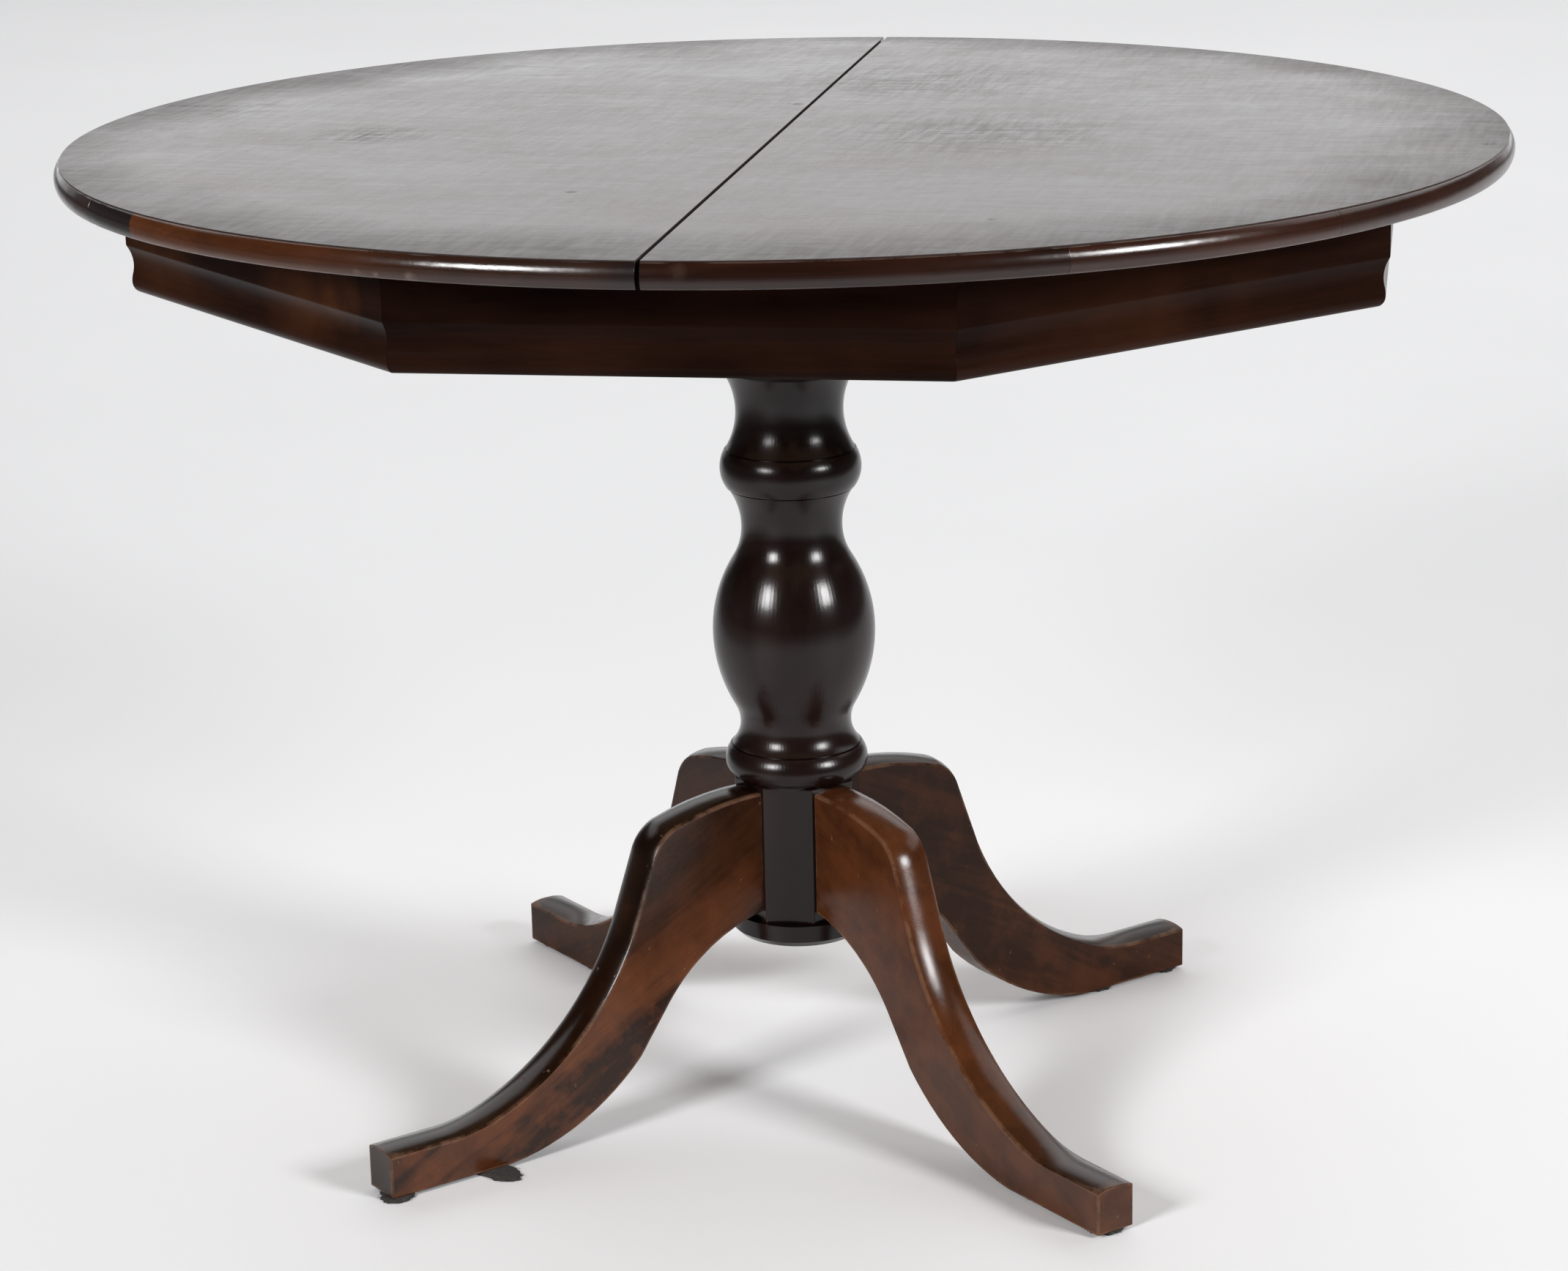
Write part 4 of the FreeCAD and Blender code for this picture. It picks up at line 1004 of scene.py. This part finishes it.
def apron_outline():
    """Section of an apron board, with its moulding."""
    foot = (APRON_FACE - 7 * MM, APRON_BOTTOM)
    bead = (APRON_FACE - 2.5 * MM, APRON_BOTTOM + 7.5 * MM)
    cove = (APRON_FACE - 4.2 * MM, APRON_BOTTOM + 20 * MM)
    flat = (APRON_FACE, APRON_BOTTOM + 34 * MM)
    points = [(APRON_INNER, APRON_BOTTOM), foot]
    points += upright_points(foot, bead, True, 6)
    points += ogee_points(bead, cove, 0.5, 8)
    points += upright_points(cove, flat, False, 8)
    points += [(APRON_FACE, APRON_TOP), (APRON_INNER, APRON_TOP)]
    points = eased(points, 0.9 * MM)
    stretch = 1 / math.cos(FACE_ANGLE / 2)
    return [(out * stretch, level) for out, level in points]


class TABLE_OT_apron(Step, bpy.types.Operator):
    """Models one moulded apron board and sets a mitred copy on each side"""

    bl_idname = "table.apron"
    bl_label = "Apron"

    def build(self, sizes, colours):
        board = turned("apron_board", apron_outline(), -FACE_ANGLE / 2, 1, -FACE_ANGLE)
        ease_ends(board, [-FACE_ANGLE / 2, FACE_ANGLE / 2], 0.35 * MM)
        flatten(board, 30)
        mark_wear(board, apron_wear)
        for number, side in enumerate(APRON_SIDES):
            turn = number * FACE_ANGLE
            item = copy_turned(board, f"{side}_apron", turn)
            base = shade(colours.apron, (1.0, 0.9, 1.1, 0.95, 1.15)[number % 5])
            grain_turn = (0, 0, -turn - math.pi / 2)
            looks = {"light": 1.9, "gloss": 0.2, "shine": 0.03, "marks": MARKS_AND_PAINTED_LIGHT.get(f"apron_{side}", ())}
            name = f"{side}_apron_lacquer"
            dress(item, lacquered_finish(name, base, grain_turn, 1.9 * number + 0.2, **looks))
            stand_for(item, f"apron_{side}", "pedestal")
        rest()
        bpy.data.objects.remove(board)


def apron_wear(spot):
    """Wear at a board's lower edge."""
    return 0.5 if spot.z < APRON_BOTTOM + MM and spot.x > APRON_FACE - 8.5 * MM else 0


# Column

def column_outline():
    """Half section of the turned column, from the axis at its foot to the axis at its top."""
    foot = COLUMN_FOOT - 2 * MM
    points = [(0, foot), (LEG_SEAT, foot)]
    last = None
    for out, level, way, *detail in COLUMN_POINTS.values():
        spot = (BELLY_RADIUS * out, COLUMN_FOOT + COLUMN_LENGTH * level)
        if way == "corner":
            points.append(spot)
        elif way == "quirk":
            floor = last[0] - detail[0]
            points += [(floor, last[1] - 0.2 * MM), (floor, last[1] + 0.3 * MM), spot]
        elif way == "ogee":
            points += ogee_points(last, spot, *detail)
        else:
            points += upright_points(last, spot, way == "upright_end", ARC_STEPS)
        last = spot
    top = COLUMN_FOOT + COLUMN_LENGTH
    return points + [(last[0], top), (TENON_RADIUS, top), (TENON_RADIUS, TENON_TOP), (0, TENON_TOP)]


class TABLE_OT_column(Step, bpy.types.Operator):
    """Turns the column about the table's axis, adds its eight-sided block, and finishes the base disc"""

    bl_idname = "table.column"
    bl_label = "Column"

    def build(self, sizes, colours):
        column = turned("turned_column", column_outline(), 0, 120, math.tau)
        rest()
        low, high = BLOCK_LEVELS
        bpy.ops.mesh.primitive_cylinder_add(
            vertices=SIDES,
            radius=LEG_SEAT / math.cos(FACE_ANGLE / 2),
            depth=high - low,
            location=(0, 0, (low + high) / 2),
            rotation=(0, 0, FACE_ANGLE / 2),
        )
        block = named("leg_block")
        bpy.ops.object.transform_apply(location=True, rotation=True)
        edit(block)
        select_all()
        bpy.ops.mesh.bevel(offset=0.8 * MM, segments=2, clamp_overlap=True)
        choose(column, block)
        bpy.ops.object.join()
        flatten(column, 30)
        looks = {"light": 1.5, "dark": 0.5, "gloss": 0.19, "shine": 0.34, "reach": 1.6}
        finish = lacquered_finish("column_lacquer", colours.column, (0, math.pi / 2, 0), 4.4, **looks)
        dress(column, finish)
        stand_for(column, "column", "pedestal")
        dress(NODES["base_disc"], finish)


# Under the top

class TABLE_OT_slides(Step, bpy.types.Operator):
    """Finishes the bearers, slides, blocks, dowels and pegs under the top"""

    bl_idname = "table.slides"
    bl_label = "Slides"

    def build(self, sizes, colours):
        base = colours.frame_wood
        # Painted shade at the seam's gap: on the slides' and bearers' faces that look up into it, and on the
        # dowels
        stain = {"seam_shade": 0.007, "only_above": True}
        along_x = raw_wood_finish("slide_beech", base, (0, 0, 0), 2.3, **stain)
        along_y = raw_wood_finish("bearer_beech", shade(base, 0.9), (0, 0, math.pi / 2), 3.1, **stain)
        pale = raw_wood_finish("dowel_beech", shade(base, 1.15), (0, 0, 0), 6.2, seam_shade=0.004)
        groups = (
            (along_x, [f"{hand}_runner_{end}" for hand in ("left", "right") for end in ("front", "back")]),
            (along_x, ["rail_front", "rail_back", "apron_corner_blocks"]),
            (along_y, ["bearer_left", "bearer_right", "top_plate"]),
            (pale, ["seam_dowels", "left_stop_pegs", "right_stop_pegs", "leg_dowels"]),
        )
        for material, names in groups:
            for name in names:
                dress(NODES[name], material)


class TABLE_OT_metalwork(Step, bpy.types.Operator):
    """Finishes the screws and the catches"""

    bl_idname = "table.metalwork"
    bl_label = "Metalwork"

    def build(self, sizes, colours):
        brass = metal_finish("aged_brass", colours.brass, 0.32)
        steel = metal_finish("zinc_steel", (0.48, 0.46, 0.42), 0.36)
        for name in ("catch_pivots", "catch_studs", "front_catch_hook", "back_catch_hook"):
            dress(NODES[name], brass)
        for place in ("base_disc", "top_plate", "rail", "left_runner", "right_runner"):
            dress(NODES[f"{place}_screws"], steel)


# Stage

def add_light(name, spot, target, width, height, power):
    """Soft box that faces a point and isn't seen by the camera."""
    rest()
    bpy.ops.object.light_add(type="AREA", location=spot)
    item = named(name)
    item.data.shape = "RECTANGLE"
    item.data.size = width
    item.data.size_y = height
    item.data.energy = power
    item.rotation_euler = (Vector(target) - Vector(spot)).to_track_quat("-Z", "Y").to_euler()
    item.visible_camera = False


def studio_world():
    """Surroundings that light the table from low down behind it, and look pale to the camera on all sides."""
    world = bpy.data.worlds.new("studio")
    world.use_nodes = True
    nodes = Nodes(world.node_tree)
    direction = nodes.source("Generated")
    shares = []
    for axis, values in ((BEHIND, (0.80, 0.95, 0.05, 1.0)), ((0, 0, 1), (0.05, 0.3, 1.75, 0.3))):
        measure = nodes.add("VectorMath", {0: direction, 1: axis}, operation="DOT_PRODUCT")
        shares.append(nodes.spread(measure.outputs["Value"], *values))
    seen = nodes.times(nodes.add("LightPath", {}).outputs["Is Camera Ray"], 0.8)
    sockets = world.node_tree.nodes["Background"].inputs
    nodes.feed(sockets["Strength"], nodes.math("MAXIMUM", seen, nodes.times(*shares)))
    nodes.feed(sockets["Color"], (0.98, 0.99, 1.0, 1))
    return world


class TABLE_OT_stage(Step, bpy.types.Operator):
    """Sets the floor, the soft lights and the camera"""

    bl_idname = "table.stage"
    bl_label = "Stage"

    def build(self, sizes, colours):
        rest()
        bpy.ops.mesh.primitive_plane_add(size=60, location=(0, 0, 0))
        floor = named("studio_floor")
        dress(floor, floor_finish(colours.floor))
        scene = bpy.context.scene
        scene.world = studio_world()
        for name, light in LIGHTS.items():
            add_light(name, *light)
        scene.view_settings.view_transform = "Standard"
        scene.camera = photo_camera()


def photo_camera():
    """Camera at the photo's angle."""
    angles = (CAMERA_AZIMUTH, CAMERA_YAW, CAMERA_PITCH, CAMERA_ROLL)
    azimuth, yaw, pitch, roll = (math.radians(angle) for angle in angles)
    aim = Matrix.Rotation(azimuth + yaw, 4, "Z") @ Matrix.Rotation(math.pi / 2 - pitch, 4, "X")
    rest()
    bpy.ops.object.camera_add()
    camera = named("photo_camera")
    camera.data.sensor_fit = "HORIZONTAL"
    camera.data.sensor_width = SENSOR
    camera.data.lens = FOCAL_PIXELS / IMAGE_WIDTH * SENSOR
    camera.matrix_world = aim @ Matrix.Rotation(roll, 4, "Z")
    camera.location = Vector(BEHIND) * -CAMERA_DISTANCE + Vector((0, 0, CAMERA_HEIGHT))
    return camera


class TABLE_PT_panel(bpy.types.Panel):
    """Lists the sizes, the colours and the steps"""

    bl_idname = "TABLE_PT_panel"
    bl_label = "Round Dining Table"
    bl_space_type = "VIEW_3D"
    bl_region_type = "UI"
    bl_category = "Table"

    def draw(self, context):
        for group in (context.scene.table_sizes, context.scene.table_colours):
            for name in group.__annotations__:
                self.layout.prop(group, name)
        for operator in OPERATORS:
            self.layout.operator(operator.bl_idname)


OPERATORS = (
    TABLE_OT_stage,
    TABLE_OT_top,
    TABLE_OT_lipping,
    TABLE_OT_apron,
    TABLE_OT_column,
    TABLE_OT_legs,
    TABLE_OT_felt_pads,
    TABLE_OT_slides,
    TABLE_OT_metalwork,
)
CLASSES = (TableSizes, TableColours, *OPERATORS, TABLE_PT_panel)


def register():
    """Registers the classes and their settings."""
    for item in CLASSES:
        bpy.utils.register_class(item)
    bpy.types.Scene.table_sizes = bpy.props.PointerProperty(type=TableSizes)
    bpy.types.Scene.table_colours = bpy.props.PointerProperty(type=TableColours)


def unregister():
    """Removes the classes and their settings."""
    del bpy.types.Scene.table_colours
    del bpy.types.Scene.table_sizes
    for item in reversed(CLASSES):
        bpy.utils.unregister_class(item)


def main():
    """Runs every step."""
    register()
    for operator in OPERATORS:
        getattr(bpy.ops.table, operator.bl_idname.split(".")[1])()
    rest()


if __name__ == "__main__":
    main()
